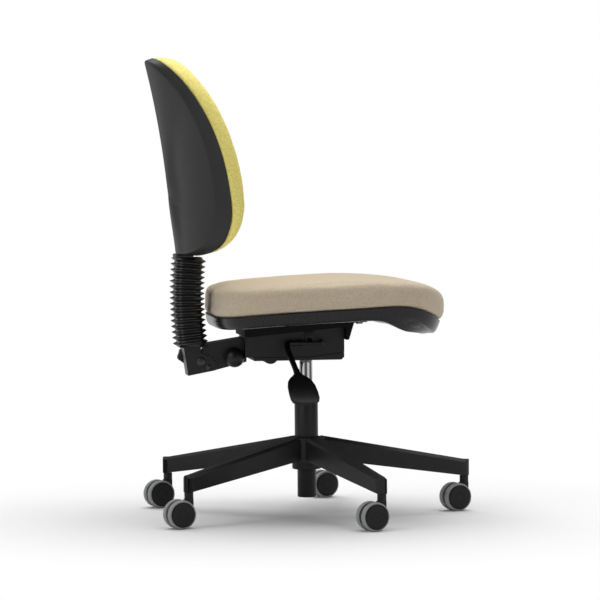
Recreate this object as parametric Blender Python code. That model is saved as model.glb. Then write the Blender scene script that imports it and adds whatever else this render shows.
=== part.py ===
"""Armless operator chair: five-arm base on castors, gas column, upholstered seat, reclining back.

Metres, +Z up. The sitter faces -Y, and the sitter's right hand is on the -X side.
The origin is on the column's axis at floor level.
"""

import math

import bmesh
import bpy
from mathutils import Matrix, Vector

# Fits and facets
GAP = 0.0003
SOFT_GAP = 0.0006
RUNNING_ROOM = 0.0006
WELD = 0.000001
OVERCUT = 0.003
ROUND_FACETS = 16
WHEEL_FACETS = 14
SMALL_FACETS = 10
PAD_FACETS = 32
ARC_STEPS = 8
CORNER_STEPS = 2
SHARP_ANGLE = math.radians(35)

# Castors
CASTOR_YAW = math.radians(16.6)
TYRE_RADIUS = 0.030
TYRE_THICKNESS = 0.0072
TYRE_SHOULDER = 0.002
DISC_OVERLAP = 0.0030
DISC_FLANGE = 0.0025
CASTOR_HALF_WIDTH = 0.022
WHEEL_INNER_FACE = 0.0045
SPIGOT_RADIUS = 0.004
SPIGOT_END_WALL = 0.0035
CASTOR_TRAIL = 0.0212
FORK_HALF_WIDTH = 0.0041
FORK_RADIUS = 0.0262
HOOD_REAR_ANGLE = -30
HOOD_STOP = 10
HOOD_FRONT_ANGLES = (185, 210)
NECK_RADIUS = 0.0095
NECK_LENGTH = 0.0147
RISER_HALF_WIDTH = 0.0085
STEM_RADIUS = 0.0055
STEM_FLOOR = 0.0030
STEM_ENGAGEMENT = 0.026
NECK_BOTTOM = 2 * TYRE_RADIUS
NECK_TOP = NECK_BOTTOM + NECK_LENGTH

# Base star
ARM_COUNT = 5
STEM_CIRCLE = 0.3423
HUB_WALL = 0.018
HUB_HEIGHT = 0.0525
COLLAR_WALL = 0.006
COLLAR_HEIGHT = 0.015
ARM_RISE = 0.0375
ARM_ROOT_LIFT = 0.0045
ARM_ROOT_WIDTH = 0.040
ARM_TIP_WIDTH = 0.022
ARM_TIP_HEIGHT = 0.035
ARM_CHAMFER = 0.006
ARM_LEAST_FLAT = 0.0003
ARM_WALL = 0.005
ARM_TIP_ANGLES = (35, 65, 85)
ARM_TIP_BOTTOM = NECK_TOP + GAP
ARM_TIP_TOP = ARM_TIP_BOTTOM + ARM_TIP_HEIGHT
HUB_BOTTOM = ARM_TIP_BOTTOM + ARM_RISE
HUB_TOP = HUB_BOTTOM + HUB_HEIGHT
COLLAR_BOTTOM = HUB_BOTTOM - COLLAR_HEIGHT

# Gas column, standing on the column's axis
TUBE_RADIUS = 0.025
TUBE_WALL = 0.0025
TUBE_RISE = 0.090
FOOT_RADIUS = 0.020
FOOT_LENGTH = 0.0605
FOOT_FLOOR = 0.004
FOOT_RECESS = 0.010
CYLINDER_RADIUS = 0.014
CYLINDER_WALL = 0.002
CYLINDER_SHOWN = 0.117
CYLINDER_HELD = 0.127
CYLINDER_FLOOR = 0.006
CYLINDER_PLUG = 0.020
ROD_RADIUS = 0.005
ROD_SHOULDER = 0.0085
ROD_SHOULDER_HEIGHT = 0.006
PISTON_STROKE_LEFT = 0.066
PISTON_LENGTH = 0.012
BEARING_HEIGHT = 0.008
CLIP_WIDTH = 0.006
CLIP_HEIGHT = 0.0025
CLIP_GROOVE_DEPTH = 0.0008
BUSH_LENGTH = 0.060
BUSH_FLANGE = 0.004
BUTTON_RADIUS = 0.004
BUTTON_RISE = 0.0118
BUTTON_HEAD = 0.003
BUTTON_HEAD_HEIGHT = 0.004
TUBE_TOP = HUB_TOP + TUBE_RISE
FOOT_BOTTOM = COLLAR_BOTTOM - FOOT_LENGTH
CYLINDER_BOTTOM = TUBE_TOP - CYLINDER_HELD
CYLINDER_TOP = TUBE_TOP + CYLINDER_SHOWN

# Mechanism under the seat, measured from the cylinder's top
HOUSING_HALF_WIDTH = 0.050
HOUSING_WALL = 0.003
HOUSING_AHEAD = 0.0755
HOUSING_BEHIND = 0.1366
HOUSING_SLOPE = 0.090
HOUSING_HEADROOM = 0.0242
HOUSING_DEPTH = 0.056
HOUSING_LOWER_SLOPE = 0.113
COVER_DEPTH = 0.0077
COVER_BEHIND = 0.118
COVER_CHAMFER = 0.006
COVER_BUMP_Y = 0.0824
COVER_BUMP_RADIUS = 0.017
COVER_BUMP_DROP = 0.0067
COVER_HOLE_ROOM = 0.0012
SOCKET_WALL = 0.005
SOCKET_LENGTH = 0.026
HOUSING_FRONT = -HOUSING_AHEAD
HOUSING_REAR = HOUSING_BEHIND
HOUSING_TOP = CYLINDER_TOP + HOUSING_HEADROOM
HOUSING_LOWER_EDGE = HOUSING_TOP - HOUSING_DEPTH
COVER_BOTTOM = HOUSING_LOWER_EDGE - COVER_DEPTH
SOCKET_BOTTOM = CYLINDER_TOP - SOCKET_LENGTH

# Elbow on which the back turns
ELBOW_BEHIND = 0.0912
ELBOW_DROP = 0.0641
ELBOW_Y = HOUSING_REAR + ELBOW_BEHIND
ELBOW_Z = HOUSING_TOP - ELBOW_DROP
RECLINE = math.radians(15)
PIN_RADIUS = 0.006
PIN_CHAMFER = 0.001
FORK_ARM_HALF_WIDTH = 0.0235
FORK_ARM_WALL = 0.0035
FORK_ARM_END_RADIUS = 0.0165
FORK_ARM_END_ANGLES = (-60, 90)
FORK_ARM_STEP = 0.001
FORK_ARM_HEEL = 0.0021
FORK_KNEE = (-0.0170, 0.0385)
RIVET = (-0.0143, 0.0264)
RIVET_RADIUS = 0.005
RIVET_HEIGHT = 0.002
STOP_PIN = (-0.0151, -0.0121)
STOP_PIN_RADIUS = 0.003
STOP_HEAD_RADIUS = 0.006
STOP_HEAD_HEIGHT = 0.002
STOP_WALL = 0.006
STOP_PIN_Y = ELBOW_Y + STOP_PIN[0]
STOP_PIN_Z = ELBOW_Z + STOP_PIN[1]
KNEE_Y = ELBOW_Y + FORK_KNEE[0]
KNEE_Z = ELBOW_Z + FORK_KNEE[1]

# Bracket, toe and spring at the elbow
BRACKET_CHEEK = 0.0040
BRACKET_WEB = 0.0040
BRACKET_COLUMN = 0.0004
BRACKET_RISE = 0.0399
BRACKET_DROP = 0.0296
BRACKET_ROOF = 0.0214
BRACKET_NOSE = ((0.0004, 0.0170), (-0.0217, 0.0107), (-0.0341, -0.0051), (-0.0310, -0.0188))
TOE_HALF_WIDTH = 0.012
TOE_EYE = 0.006
TOE_EYE_ANGLE = 80
TOE_REACH = 0.013
TOE_RISE = 0.0019
SPRING_AHEAD = 0.0428
SPRING_RADIUS = 0.0085
SPRING_WIRE = 0.0025
SPRING_TURNS = 4
SPRING_STEPS = 9
SPRING_SIDES = 5
BRACKET_HALF_WIDTH = FORK_ARM_HALF_WIDTH + GAP + BRACKET_CHEEK
BRACKET_TOP = ELBOW_Z + BRACKET_RISE
BRACKET_BOTTOM = ELBOW_Z - BRACKET_DROP
BRACKET_SHELF = ELBOW_Z + BRACKET_ROOF
SPRING_Y = ELBOW_Y - SPRING_AHEAD
TOE_END_Y = SPRING_Y - TOE_REACH
TOE_TOP = ELBOW_Z + TOE_RISE

# Knobs
TENSION_BEHIND = 0.0214
TENSION_RISE = 0.0079
TENSION_RADIUS = 0.0205
TENSION_LENGTH = 0.034
TENSION_SKIRT = 0.015
TENSION_BEVEL = 0.004
TENSION_Y = HOUSING_REAR + TENSION_BEHIND
TENSION_Z = ELBOW_Z + TENSION_RISE
KNOB_STUD_RADIUS = 0.004
CLAMP_RISE = 0.0089
CLAMP_RADIUS = 0.018
CLAMP_STAND_OFF = 0.003
CLAMP_LENGTH = 0.024
CLAMP_LOBES = 5
CLAMP_LOBE_STEPS = 6
CLAMP_LOBE_DEPTH = 0.0025
CLAMP_Z = ELBOW_Z + CLAMP_RISE

# Height lever
LEVER_OUT = 0.014
LEVER_RADIUS = 0.004
LEVER_DROP = 0.002
LEVER_AHEAD = 0.0317
LEVER_BEHIND = 0.051
LEVER_BEND = 0.010
LEVER_KNEE_IN = (-0.002, -0.0033, 0.0)
LEVER_KNEE_OUT = (-0.010, 0.0, -0.0025)
LEVER_SAG = 0.0025
LEVER_SAG_SHARE = 0.3
LEVER_SIDES = 8
TONGUE_HALF_WIDTH = 0.005
TONGUE_THICKNESS = 0.0045
TONGUE_END = 0.006
TONGUE_FOOT = 0.0185
TONGUE_ROOM = 0.002
LUG_LENGTH = 0.010
LUG_HALF_HEIGHT = 0.008
LUG_FRONT_Y = -0.0267
LUG_REAR_Y = 0.0175
PADDLE_ROOT = (-0.086, 0.043, -0.052)
PADDLE_REACH = (-0.095, -0.007, -0.056)
PADDLE_NECK = 0.0065
PADDLE_HALF_WIDTH = 0.029
PADDLE_BOWL = 0.038
PADDLE_BOWL_ANGLES = (190, -10)
PADDLE_THICKNESS = 0.008
PADDLE_EDGE = 0.0025
LEVER_X = -HOUSING_HALF_WIDTH - LEVER_OUT
LEVER_Z = CYLINDER_TOP - LEVER_DROP

# Upright bar and bellows
BAR_HALF_WIDTH = 0.020
BAR_THICKNESS = 0.008
BAR_LEAN = 0.151
BAR_BEHIND = 0.0239
BAR_BELOW = 0.0281
BAR_STRAIGHT = 0.0879
BAR_BOW_STEPS = 8
BAR_BOW = 0.42
BAR_ON_BOARD = 0.163
BAR_BOARD_STEPS = 4
BELLOWS_FINS = 16
BELLOWS_WIDTH = 0.090
BELLOWS_DEPTH = 0.070
BELLOWS_FIN_DEPTH = 0.008
BELLOWS_WALL = 0.002
BELLOWS_CORNER = 0.025
BELLOWS_RISE = 0.0337
BELLOWS_LENGTH = 0.1867
BELLOWS_BEHIND = 0.0187
BELLOWS_LEAN = 0.0027
BELLOWS_BOW = 0.0055
BELLOWS_LEVEL_RATE = 40
BORE_STEPS = 4
SHELF_THICKNESS = 0.003
BAR_BOTTOM = ELBOW_Z - BAR_BELOW
BAR_STRAIGHT_TOP = ELBOW_Z + BAR_STRAIGHT
BELLOWS_BOTTOM = ELBOW_Z + BELLOWS_RISE
BELLOWS_TOP = BELLOWS_BOTTOM + BELLOWS_LENGTH
BELLOWS_Y = ELBOW_Y + BELLOWS_BEHIND

# Seat plate and its bolts
PLATE_HALF_WIDTH = 0.075
PLATE_LUG = 0.017
PLATE_LUG_DEPTH = 0.0270
PLATE_LUG_TAPER = 0.011
PLATE_STRIP = 0.028
PLATE_STRIP_THICKNESS = 0.004
PLATE_TAIL = 0.0039
PLATE_TAIL_RISE = 0.001
PLATE_RAIL = 0.024
BOLT_RADIUS = 0.004
BOLT_X = 0.062
BOLT_MARGIN = 0.0145
BOLT_PLATE_THICKNESS = 0.002
NUT_RADIUS = 0.007
NUT_HEIGHT = 0.004
NUT_SHOULDER = 0.003
PLATE_FRONT = HOUSING_FRONT - GAP - PLATE_LUG - PLATE_STRIP
PLATE_REAR = HOUSING_REAR + PLATE_TAIL
BOLT_FRONT_Y = PLATE_FRONT + BOLT_MARGIN
BOLT_REAR_Y = PLATE_REAR - BOLT_MARGIN

# Seat pan, board and pad
SEAT_HALF_WIDTH = 0.237
SEAT_LENGTH = 0.482
SEAT_CLEARANCE = 0.0065
SEAT_FRONT_SQUARENESS = 3.2
SEAT_REAR_SQUARENESS = 4.2
SEAT_TAPER = 0.05
PLATE_HEIGHT = 0.0143
PAN_SLOPE = 0.055
PAN_WALL = 0.0035
PAN_RIM = 0.0043
PAN_SKIRT = 0.0265
PAN_SKIRT_ROUND = 0.006
PAN_SKIRT_INSET = 0.0107
PAN_FLOOR_DEPTH = 0.0347
PAN_LIP = 0.0275
PAN_LIP_START = 0.162
PAN_LIP_LENGTH = 0.075
PAN_LIP_FADE = 0.3
FLAT_MARGIN = 0.012
FLAT_INSET = 0.146
FLOOR_BEND = 0.075
FLOOR_INSETS = (0.096, 0.062, 0.034)
TUCK = 0.024
TUCK_START = 0.157
TUCK_LENGTH = 0.140
BOARD_THICKNESS = 0.012
SEAM_SLOPE = 0.045
SEAM_FALL = 2.95
SEAM_FALL_START = 0.127
SEAM_REAR_FALL = 0.25
SEAM_REAR_LENGTH = 0.175
PAD_HEIGHT = 0.0513
PAD_SLOPE = 0.005
PAD_CROWN = 0.0155
PAD_FRONT_FULLNESS = 2
PAD_REAR_FULLNESS = 3
PAD_FALL = 0.5
PAD_FALL_START = 0.247
NOSE_FALL = 3.0
NOSE_START = 0.062
PAD_TONGUE = 0.006
PAD_TONGUE_INSETS = (0.018, 0.0096)
PAD_SIDE = ((0.0012, 0.0), (-0.0024, 0.22), (-0.0029, 0.5), (0.0, 0.75), (0.0067, 0.92))
PAD_TOP_INSETS = (0.0192, 0.048, 0.096, 0.156)
SEAT_REAR = BELLOWS_Y - BELLOWS_DEPTH / 2 - SEAT_CLEARANCE
SEAT_FRONT = SEAT_REAR - SEAT_LENGTH
SEAT_MIDDLE = (SEAT_REAR + SEAT_FRONT) / 2
PAN_FLOOR = HOUSING_TOP + PLATE_HEIGHT

# Back, seen from behind
BACK_HALF_WIDTH = 0.205
BACK_ABOVE = 0.0035
BACK_HEIGHT = 0.419
BACK_WAIST_RISE = 0.129
BACK_TOP_ROUNDNESS = 2.3
BACK_BOTTOM_ROUNDNESS = 2.8
SPINE_BEHIND = 0.0487
SPINE_LEAN = 0.095
SPINE_BEND = 0.145
SPINE_BULGE = 0.012
SPINE_BULGE_WIDTH = 0.040
SHELL_FLARE = 0.19
SHELL_FLARE_RISE = 0.244
SHELL_DIP = 0.002
WRAP_DEPTH = 0.0665
WRAP_HALF_WIDTH = 0.184
WRAP_POWER = 1.8
SEAM_DEPTH = 0.018
SEAM_WRAP = 0.090
SEAM_FOOT = 0.016
SEAM_FOOT_HEIGHT = 0.065
SHELL_WALL = 0.004
SHELL_RIM = 0.005
SHELL_SHARES = (0, 0.25, 0.5, 0.72)
SHELL_RIDGE = 0.89
SHELL_EDGE = 0.95
SHELL_EDGE_WRAP = 0.45
SHELL_SPREAD = 0.75
BOARD_DEPTH = 0.036
BOARD_FOOT_RISE = 0.016
BOARD_WRAP = 0.066
BOARD_WRAP_WIDTH = 0.190
BOARD_SHARES = (0, 0.2, 0.45, 0.75, 0.93)
BACK_BOARD_THICKNESS = 0.009
BACK_PAD_DEPTH = 0.0975
BACK_PAD_WRAP = 0.047
BULGE_RISE = 0.164
BULGE_FALL_UP = 0.28
BULGE_FALL_DOWN = 1.0
BACK_SEAM_SHARES = (0.955, 1.0)
BACK_SIDE = ((1.014, 0.25), (1.018, 0.5), (1.008, 0.78), (0.975, 0.95))
BACK_FRONT_SHARES = (0.92, 0.78, 0.55, 0.3, 0)
NOTCH_ROOM = 0.006
NOTCH_AHEAD = 0.016
NOTCH_BEHIND = 0.012
NOTCH_HEIGHT = 0.045
CLAMP_PLATE_THICKNESS = 0.0035
CLAMP_PLATE_MARGIN = 0.006
STUD_RADIUS = 0.003
STUD_X = 0.011
STUD_RISES = (0.069, 0.149)
STUD_SHORT = 0.002
BACK_BOTTOM = BELLOWS_TOP + BACK_ABOVE
BACK_TOP = BACK_BOTTOM + BACK_HEIGHT
BACK_WAIST = BACK_BOTTOM + BACK_WAIST_RISE
SPINE_Y = ELBOW_Y + SPINE_BEHIND
BOARD_FOOT = BACK_BOTTOM + BOARD_FOOT_RISE
STUD_HEIGHTS = tuple(BACK_BOTTOM + rise for rise in STUD_RISES)

for old in list(bpy.data.objects):
    bpy.data.objects.remove(old, do_unlink=True)


# Materials

def linear(hex_colour):
    """Turn an sRGB hex colour into linear RGBA."""
    channels = [int(hex_colour[i:i + 2], 16) / 255 for i in (1, 3, 5)]
    return [c / 12.92 if c <= 0.04045 else ((c + 0.055) / 1.055) ** 2.4 for c in channels] + [1.0]


def material(name, hex_colour, roughness, metallic=0.0):
    made = bpy.data.materials.new(name)
    made.use_nodes = True
    shader = made.node_tree.nodes["Principled BSDF"]
    shader.inputs["Base Color"].default_value = linear(hex_colour)
    shader.inputs["Roughness"].default_value = roughness
    shader.inputs["Metallic"].default_value = metallic
    return made


NYLON = material("black_nylon", "#232325", 0.5)
SHELL_PLASTIC = material("charcoal_plastic", "#2B2C2E", 0.55)
PAINTED_STEEL = material("black_painted_steel", "#1E1E20", 0.45)
CHROME = material("chrome", "#D8DADC", 0.12, 1.0)
STEEL = material("bright_steel", "#A9ABAE", 0.3, 1.0)
ACETAL = material("black_acetal", "#1B1B1C", 0.4)
TREAD = material("grey_tread", "#8E8F90", 0.7)
RUBBER = material("black_rubber", "#1D1D1E", 0.6)
PLYWOOD = material("plywood", "#C3A576", 0.6)
BEIGE_CLOTH = material("beige_cloth", "#BFAA8A", 0.9)
YELLOW_CLOTH = material("yellow_cloth", "#D9C552", 0.9)


# Modelling helpers

def place(name, bm, finish, pivot=(0.0, 0.0, 0.0), parent=None):
    """Make an object whose origin is at the pivot. The bmesh and the pivot share the parent's frame."""
    bmesh.ops.translate(bm, vec=-Vector(pivot), verts=bm.verts)
    mesh = bpy.data.meshes.new(name)
    bm.to_mesh(mesh)
    bm.free()
    mesh.materials.append(finish)
    mesh.shade_smooth()
    mesh.set_sharp_from_angle(angle=SHARP_ANGLE)
    piece = bpy.data.objects.new(name, mesh)
    piece.location = pivot
    piece.parent = parent
    bpy.context.collection.objects.link(piece)
    return piece


def combine(piece, operation, bm, label):
    """Join a bmesh to a piece, or cut it out, with a Boolean whose tool stays hidden."""
    tool = place(f"{piece.name}_{label}", bm, piece.data.materials[0], parent=piece.parent)
    tool.hide_render = True
    tool.display_type = "WIRE"
    modifier = piece.modifiers.new(label, "BOOLEAN")
    modifier.operation = operation
    modifier.solver = "EXACT"
    modifier.object = tool


def cut(piece, bm, label):
    combine(piece, "DIFFERENCE", bm, label)


def weld(piece, bm, label):
    combine(piece, "UNION", bm, label)


def merged(shapes):
    """Put several separate shapes into one bmesh."""
    whole = bmesh.new()
    for shape in shapes:
        part = bpy.data.meshes.new("part")
        shape.to_mesh(part)
        shape.free()
        whole.from_mesh(part)
        bpy.data.meshes.remove(part)
    return whole


def split(corners):
    """Cut a twisted quad along the diagonal that lies further up and back, so that like faces match."""
    if len(corners) < 4:
        return [corners]
    a, b, c, d = [corner.co for corner in corners]
    if abs((b - a).cross(c - a).normalized().dot(d - a)) < WELD:
        return [corners]
    first = (a + c).y + (a + c).z
    second = (b + d).y + (b + d).z
    if first > second:
        return [[corners[0], corners[1], corners[2]], [corners[0], corners[2], corners[3]]]
    return [[corners[1], corners[2], corners[3]], [corners[1], corners[3], corners[0]]]


def lofted(rings, looped=False):
    """Skin a row of rings. A ring of one point is a pole, and open ends get flat caps."""
    bm = bmesh.new()
    loops = [[bm.verts.new(point) for point in ring] for ring in rings]
    pairs = list(zip(loops, loops[1:]))
    if looped:
        pairs.append((loops[-1], loops[0]))
    for lower, upper in pairs:
        count = max(len(lower), len(upper))
        for i in range(count):
            j = (i + 1) % count
            corners = [lower[i % len(lower)], lower[j % len(lower)],
                       upper[j % len(upper)], upper[i % len(upper)]]
            for face in split(list(dict.fromkeys(corners))):
                bm.faces.new(face)
    if not looped:
        for loop in (loops[0], loops[-1]):
            if len(loop) > 1:
                bm.faces.new(loop)
    bmesh.ops.recalc_face_normals(bm, faces=bm.faces)
    return bm


def turned(profile, facets=ROUND_FACETS, ring=True, turn=0.0):
    """Spin a profile of (radius, height) points about +Z. A ring's profile closes on itself."""
    bm = bmesh.new()
    verts = [bm.verts.new((radius, 0.0, height)) for radius, height in profile]
    edges = [bm.edges.new(pair) for pair in zip(verts, verts[1:])]
    if ring:
        edges.append(bm.edges.new((verts[-1], verts[0])))
    bmesh.ops.spin(bm, geom=verts + edges, cent=(0, 0, 0), axis=(0, 0, 1), angle=math.tau,
                   steps=facets, use_merge=True, use_duplicate=False)
    bmesh.ops.remove_doubles(bm, verts=bm.verts, dist=WELD)
    bmesh.ops.recalc_face_normals(bm, faces=bm.faces)
    bmesh.ops.rotate(bm, cent=(0, 0, 0), matrix=Matrix.Rotation(turn, 3, "Z"), verts=bm.verts)
    return bm


def rod(radius, low, high, facets=SMALL_FACETS):
    """A plain round bar along +Z."""
    return turned([(0, low), (radius, low), (radius, high), (0, high)], facets, ring=False)


def moved(bm, matrix):
    bmesh.ops.transform(bm, matrix=matrix, verts=bm.verts)
    return bm


def across(x, y, z, outward=1):
    """Frame whose +Z runs along +X, or along -X where outward is -1, at a point."""
    return Matrix.Translation((x, y, z)) @ Matrix.Rotation(outward * math.pi / 2, 4, "Y")


def slab(outline, thickness):
    """Extrude an outline of (x, y) points along +Z."""
    bm = bmesh.new()
    face = bm.faces.new([bm.verts.new((x, y, 0.0)) for x, y in outline])
    grown = bmesh.ops.extrude_face_region(bm, geom=[face])["geom"]
    top = [item for item in grown if isinstance(item, bmesh.types.BMVert)]
    bmesh.ops.translate(bm, vec=(0, 0, thickness), verts=top)
    bmesh.ops.recalc_face_normals(bm, faces=bm.faces)
    return bm


def side_slab(outline, low, high):
    """Extrude a side view of (y, z) points from one x to another."""
    turn = Matrix(((0, 0, 1, low), (1, 0, 0, 0), (0, 1, 0, 0), (0, 0, 0, 1)))
    return moved(slab(outline, high - low), turn)


def block(low, high):
    bm = bmesh.new()
    size = Vector(high) - Vector(low)
    middle = (Vector(high) + Vector(low)) / 2
    bmesh.ops.create_cube(bm, size=1.0, matrix=Matrix.Translation(middle) @ Matrix.Diagonal((*size, 1.0)))
    return bm


def arc(centre, radius, start, end, steps):
    """Points on a circle from one angle to another, in degrees."""
    angles = [math.radians(start + (end - start) * i / steps) for i in range(steps + 1)]
    return [(centre[0] + radius * math.cos(a), centre[1] + radius * math.sin(a)) for a in angles]


def circle(radius, count):
    return arc((0.0, 0.0), radius, 0, 360, count)[:-1]


def swept(path, section):
    """Carry a section of (side, up) points along a path."""
    points = [Vector(p) for p in path]
    rings = []
    side = None
    for i, point in enumerate(points):
        onward = (points[min(i + 1, len(points) - 1)] - points[max(i - 1, 0)]).normalized()
        if side is None:
            side = onward.orthogonal().normalized()
        side = (side - onward * side.dot(onward)).normalized()
        up = onward.cross(side)
        rings.append([point + side * u + up * v for u, v in section])
    return lofted(rings)


def smoothstep(value):
    t = min(max(value, 0.0), 1.0)
    return t * t * (3 - 2 * t)


def signed_power(value, power):
    return math.copysign(abs(value) ** power, value)


# Gas column

def make_column():
    tube_bore = TUBE_RADIUS - TUBE_WALL
    foot_bore = FOOT_RADIUS - TUBE_WALL
    floor_under = FOOT_BOTTOM + FOOT_RECESS
    floor = floor_under + FOOT_FLOOR
    shoulder = COLLAR_BOTTOM + FOOT_FLOOR
    rod_hole = ROD_RADIUS + GAP
    place("column_tube", turned([
        (TUBE_RADIUS, TUBE_TOP), (TUBE_RADIUS, COLLAR_BOTTOM), (FOOT_RADIUS, COLLAR_BOTTOM),
        (FOOT_RADIUS, FOOT_BOTTOM), (foot_bore, FOOT_BOTTOM), (foot_bore, floor_under),
        (rod_hole, floor_under), (rod_hole, floor), (foot_bore, floor), (foot_bore, shoulder),
        (tube_bore, shoulder), (tube_bore, TUBE_TOP)]), PAINTED_STEEL)

    bush_bore = CYLINDER_RADIUS + GAP
    flange_bottom = TUBE_TOP + GAP
    place("column_bush", turned([
        (TUBE_RADIUS, flange_bottom + BUSH_FLANGE), (TUBE_RADIUS, flange_bottom),
        (tube_bore - GAP, flange_bottom), (tube_bore - GAP, TUBE_TOP - BUSH_LENGTH),
        (bush_bore, TUBE_TOP - BUSH_LENGTH), (bush_bore, flange_bottom + BUSH_FLANGE)]), ACETAL)

    bearing_bottom = floor + GAP
    bearing_top = bearing_bottom + BEARING_HEIGHT
    place("thrust_bearing", turned([
        (foot_bore - GAP, bearing_top), (foot_bore - GAP, bearing_bottom),
        (rod_hole, bearing_bottom), (rod_hole, bearing_top)]), STEEL)

    clip_top = floor_under - GAP
    clip_bottom = clip_top - CLIP_HEIGHT
    groove = ROD_RADIUS - CLIP_GROOVE_DEPTH
    rod_end = clip_bottom - GAP - CLIP_HEIGHT
    step_bottom = bearing_top + GAP
    step_top = step_bottom + ROD_SHOULDER_HEIGHT
    step_radius = ROD_RADIUS + ROD_SHOULDER
    piston_radius = CYLINDER_RADIUS - CYLINDER_WALL - GAP
    piston_bottom = CYLINDER_BOTTOM + CYLINDER_FLOOR + PISTON_STROKE_LEFT
    piston_top = piston_bottom + PISTON_LENGTH
    place("piston_rod", turned([
        (0, piston_top), (piston_radius, piston_top), (piston_radius, piston_bottom),
        (ROD_RADIUS, piston_bottom), (ROD_RADIUS, step_top), (step_radius, step_top),
        (step_radius, step_bottom), (ROD_RADIUS, step_bottom), (ROD_RADIUS, clip_top + GAP),
        (groove, clip_top + GAP), (groove, clip_bottom - GAP), (ROD_RADIUS, clip_bottom - GAP),
        (ROD_RADIUS, rod_end), (0, rod_end)], ring=False), STEEL)
    clip_radius = groove + GAP + CLIP_WIDTH
    place("retaining_clip", turned([
        (clip_radius, clip_top), (clip_radius, clip_bottom),
        (groove + GAP, clip_bottom), (groove + GAP, clip_top)]), STEEL)

    bore = CYLINDER_RADIUS - CYLINDER_WALL
    button_hole = BUTTON_RADIUS + GAP
    plug_bottom = CYLINDER_TOP - CYLINDER_PLUG
    cylinder_floor = CYLINDER_BOTTOM + CYLINDER_FLOOR
    place("gas_cylinder", turned([
        (CYLINDER_RADIUS, CYLINDER_TOP), (CYLINDER_RADIUS, CYLINDER_BOTTOM), (rod_hole, CYLINDER_BOTTOM),
        (rod_hole, cylinder_floor), (bore, cylinder_floor), (bore, plug_bottom), (button_hole, plug_bottom),
        (button_hole, CYLINDER_TOP)]), CHROME)
    head_top = plug_bottom - GAP
    head_bottom = head_top - BUTTON_HEAD_HEIGHT
    head_radius = BUTTON_RADIUS + BUTTON_HEAD
    button_top = CYLINDER_TOP + BUTTON_RISE
    place("valve_button", turned([
        (0, button_top), (BUTTON_RADIUS, button_top), (BUTTON_RADIUS, head_top), (head_radius, head_top),
        (head_radius, head_bottom), (0, head_bottom)], ROUND_FACETS, ring=False), STEEL)


# Base star

def arm_angles():
    return [math.tau * i / ARM_COUNT for i in range(ARM_COUNT)]


def arm_section(distance, width, top, bottom):
    """Six corners of an arm's cross-section, at a distance along -Y."""
    half = width / 2
    chamfer = min(ARM_CHAMFER, half - ARM_LEAST_FLAT)
    flat = half - chamfer
    return [(half, -distance, bottom), (half, -distance, top - chamfer), (flat, -distance, top),
            (-flat, -distance, top), (-half, -distance, top - chamfer), (-half, -distance, bottom)]


def arm_ring(distance, inset):
    """Cross-section of the arm part of the way out, shrunk by an inset for the channel under it."""
    hub_radius = TUBE_RADIUS + HUB_WALL
    share = (distance - hub_radius) / (STEM_CIRCLE - hub_radius)
    root_bottom = HUB_BOTTOM + ARM_ROOT_LIFT
    width = ARM_ROOT_WIDTH + (ARM_TIP_WIDTH - ARM_ROOT_WIDTH) * share - 2 * inset
    top = HUB_TOP + (ARM_TIP_TOP - HUB_TOP) * share - inset
    bottom = root_bottom + (ARM_TIP_BOTTOM - root_bottom) * share - inset
    return arm_section(distance, width, top, bottom)


def arm_shape():
    """One arm along -Y, from inside the hub's wall to its rounded tip."""
    tip_radius = ARM_TIP_WIDTH / 2
    rings = [arm_ring(TUBE_RADIUS + HUB_WALL / 2, 0.0), arm_ring(STEM_CIRCLE, 0.0)]
    for angle in ARM_TIP_ANGLES:
        turn = math.radians(angle)
        rings.append(arm_section(STEM_CIRCLE + tip_radius * math.sin(turn), ARM_TIP_WIDTH * math.cos(turn),
                                 ARM_TIP_TOP, ARM_TIP_BOTTOM))
    return lofted(rings)


def arm_channel():
    """Hollow on the underside of one arm."""
    start = TUBE_RADIUS + HUB_WALL + ARM_WALL
    end = STEM_CIRCLE - ARM_TIP_WIDTH / 2 - ARM_WALL
    return lofted([arm_ring(start, ARM_WALL), arm_ring(end, ARM_WALL)])


def stem_socket():
    hole = rod(STEM_RADIUS + GAP, ARM_TIP_BOTTOM - OVERCUT, ARM_TIP_BOTTOM + STEM_ENGAGEMENT)
    return moved(hole, Matrix.Translation((0, -STEM_CIRCLE, 0)))


def round_the_star(make_shape):
    return merged([moved(make_shape(), Matrix.Rotation(angle, 4, "Z")) for angle in arm_angles()])


def make_base():
    bore = TUBE_RADIUS + GAP
    hub_radius = TUBE_RADIUS + HUB_WALL
    collar_radius = TUBE_RADIUS + COLLAR_WALL
    star = place("base_star", turned([
        (hub_radius, HUB_TOP), (hub_radius, HUB_BOTTOM), (collar_radius, HUB_BOTTOM),
        (collar_radius, COLLAR_BOTTOM), (bore, COLLAR_BOTTOM), (bore, HUB_TOP)]), NYLON)
    weld(star, round_the_star(arm_shape), "arms")
    cut(star, round_the_star(arm_channel), "channels")
    cut(star, round_the_star(stem_socket), "sockets")


# Castors

def tread_radius():
    """Radius at the tread's corners, so that its flats stand on the floor."""
    return TYRE_RADIUS / math.cos(math.pi / WHEEL_FACETS)


def tyre_profile():
    """Section of a tyre, as (radius, distance from the castor's middle)."""
    tread = tread_radius()
    inner = tread - TYRE_THICKNESS
    near = WHEEL_INNER_FACE
    far = CASTOR_HALF_WIDTH - DISC_FLANGE - GAP
    return [(inner, near), (tread, near), (tread, far - TYRE_SHOULDER), (tread - TYRE_SHOULDER, far),
            (inner, far)]


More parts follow.
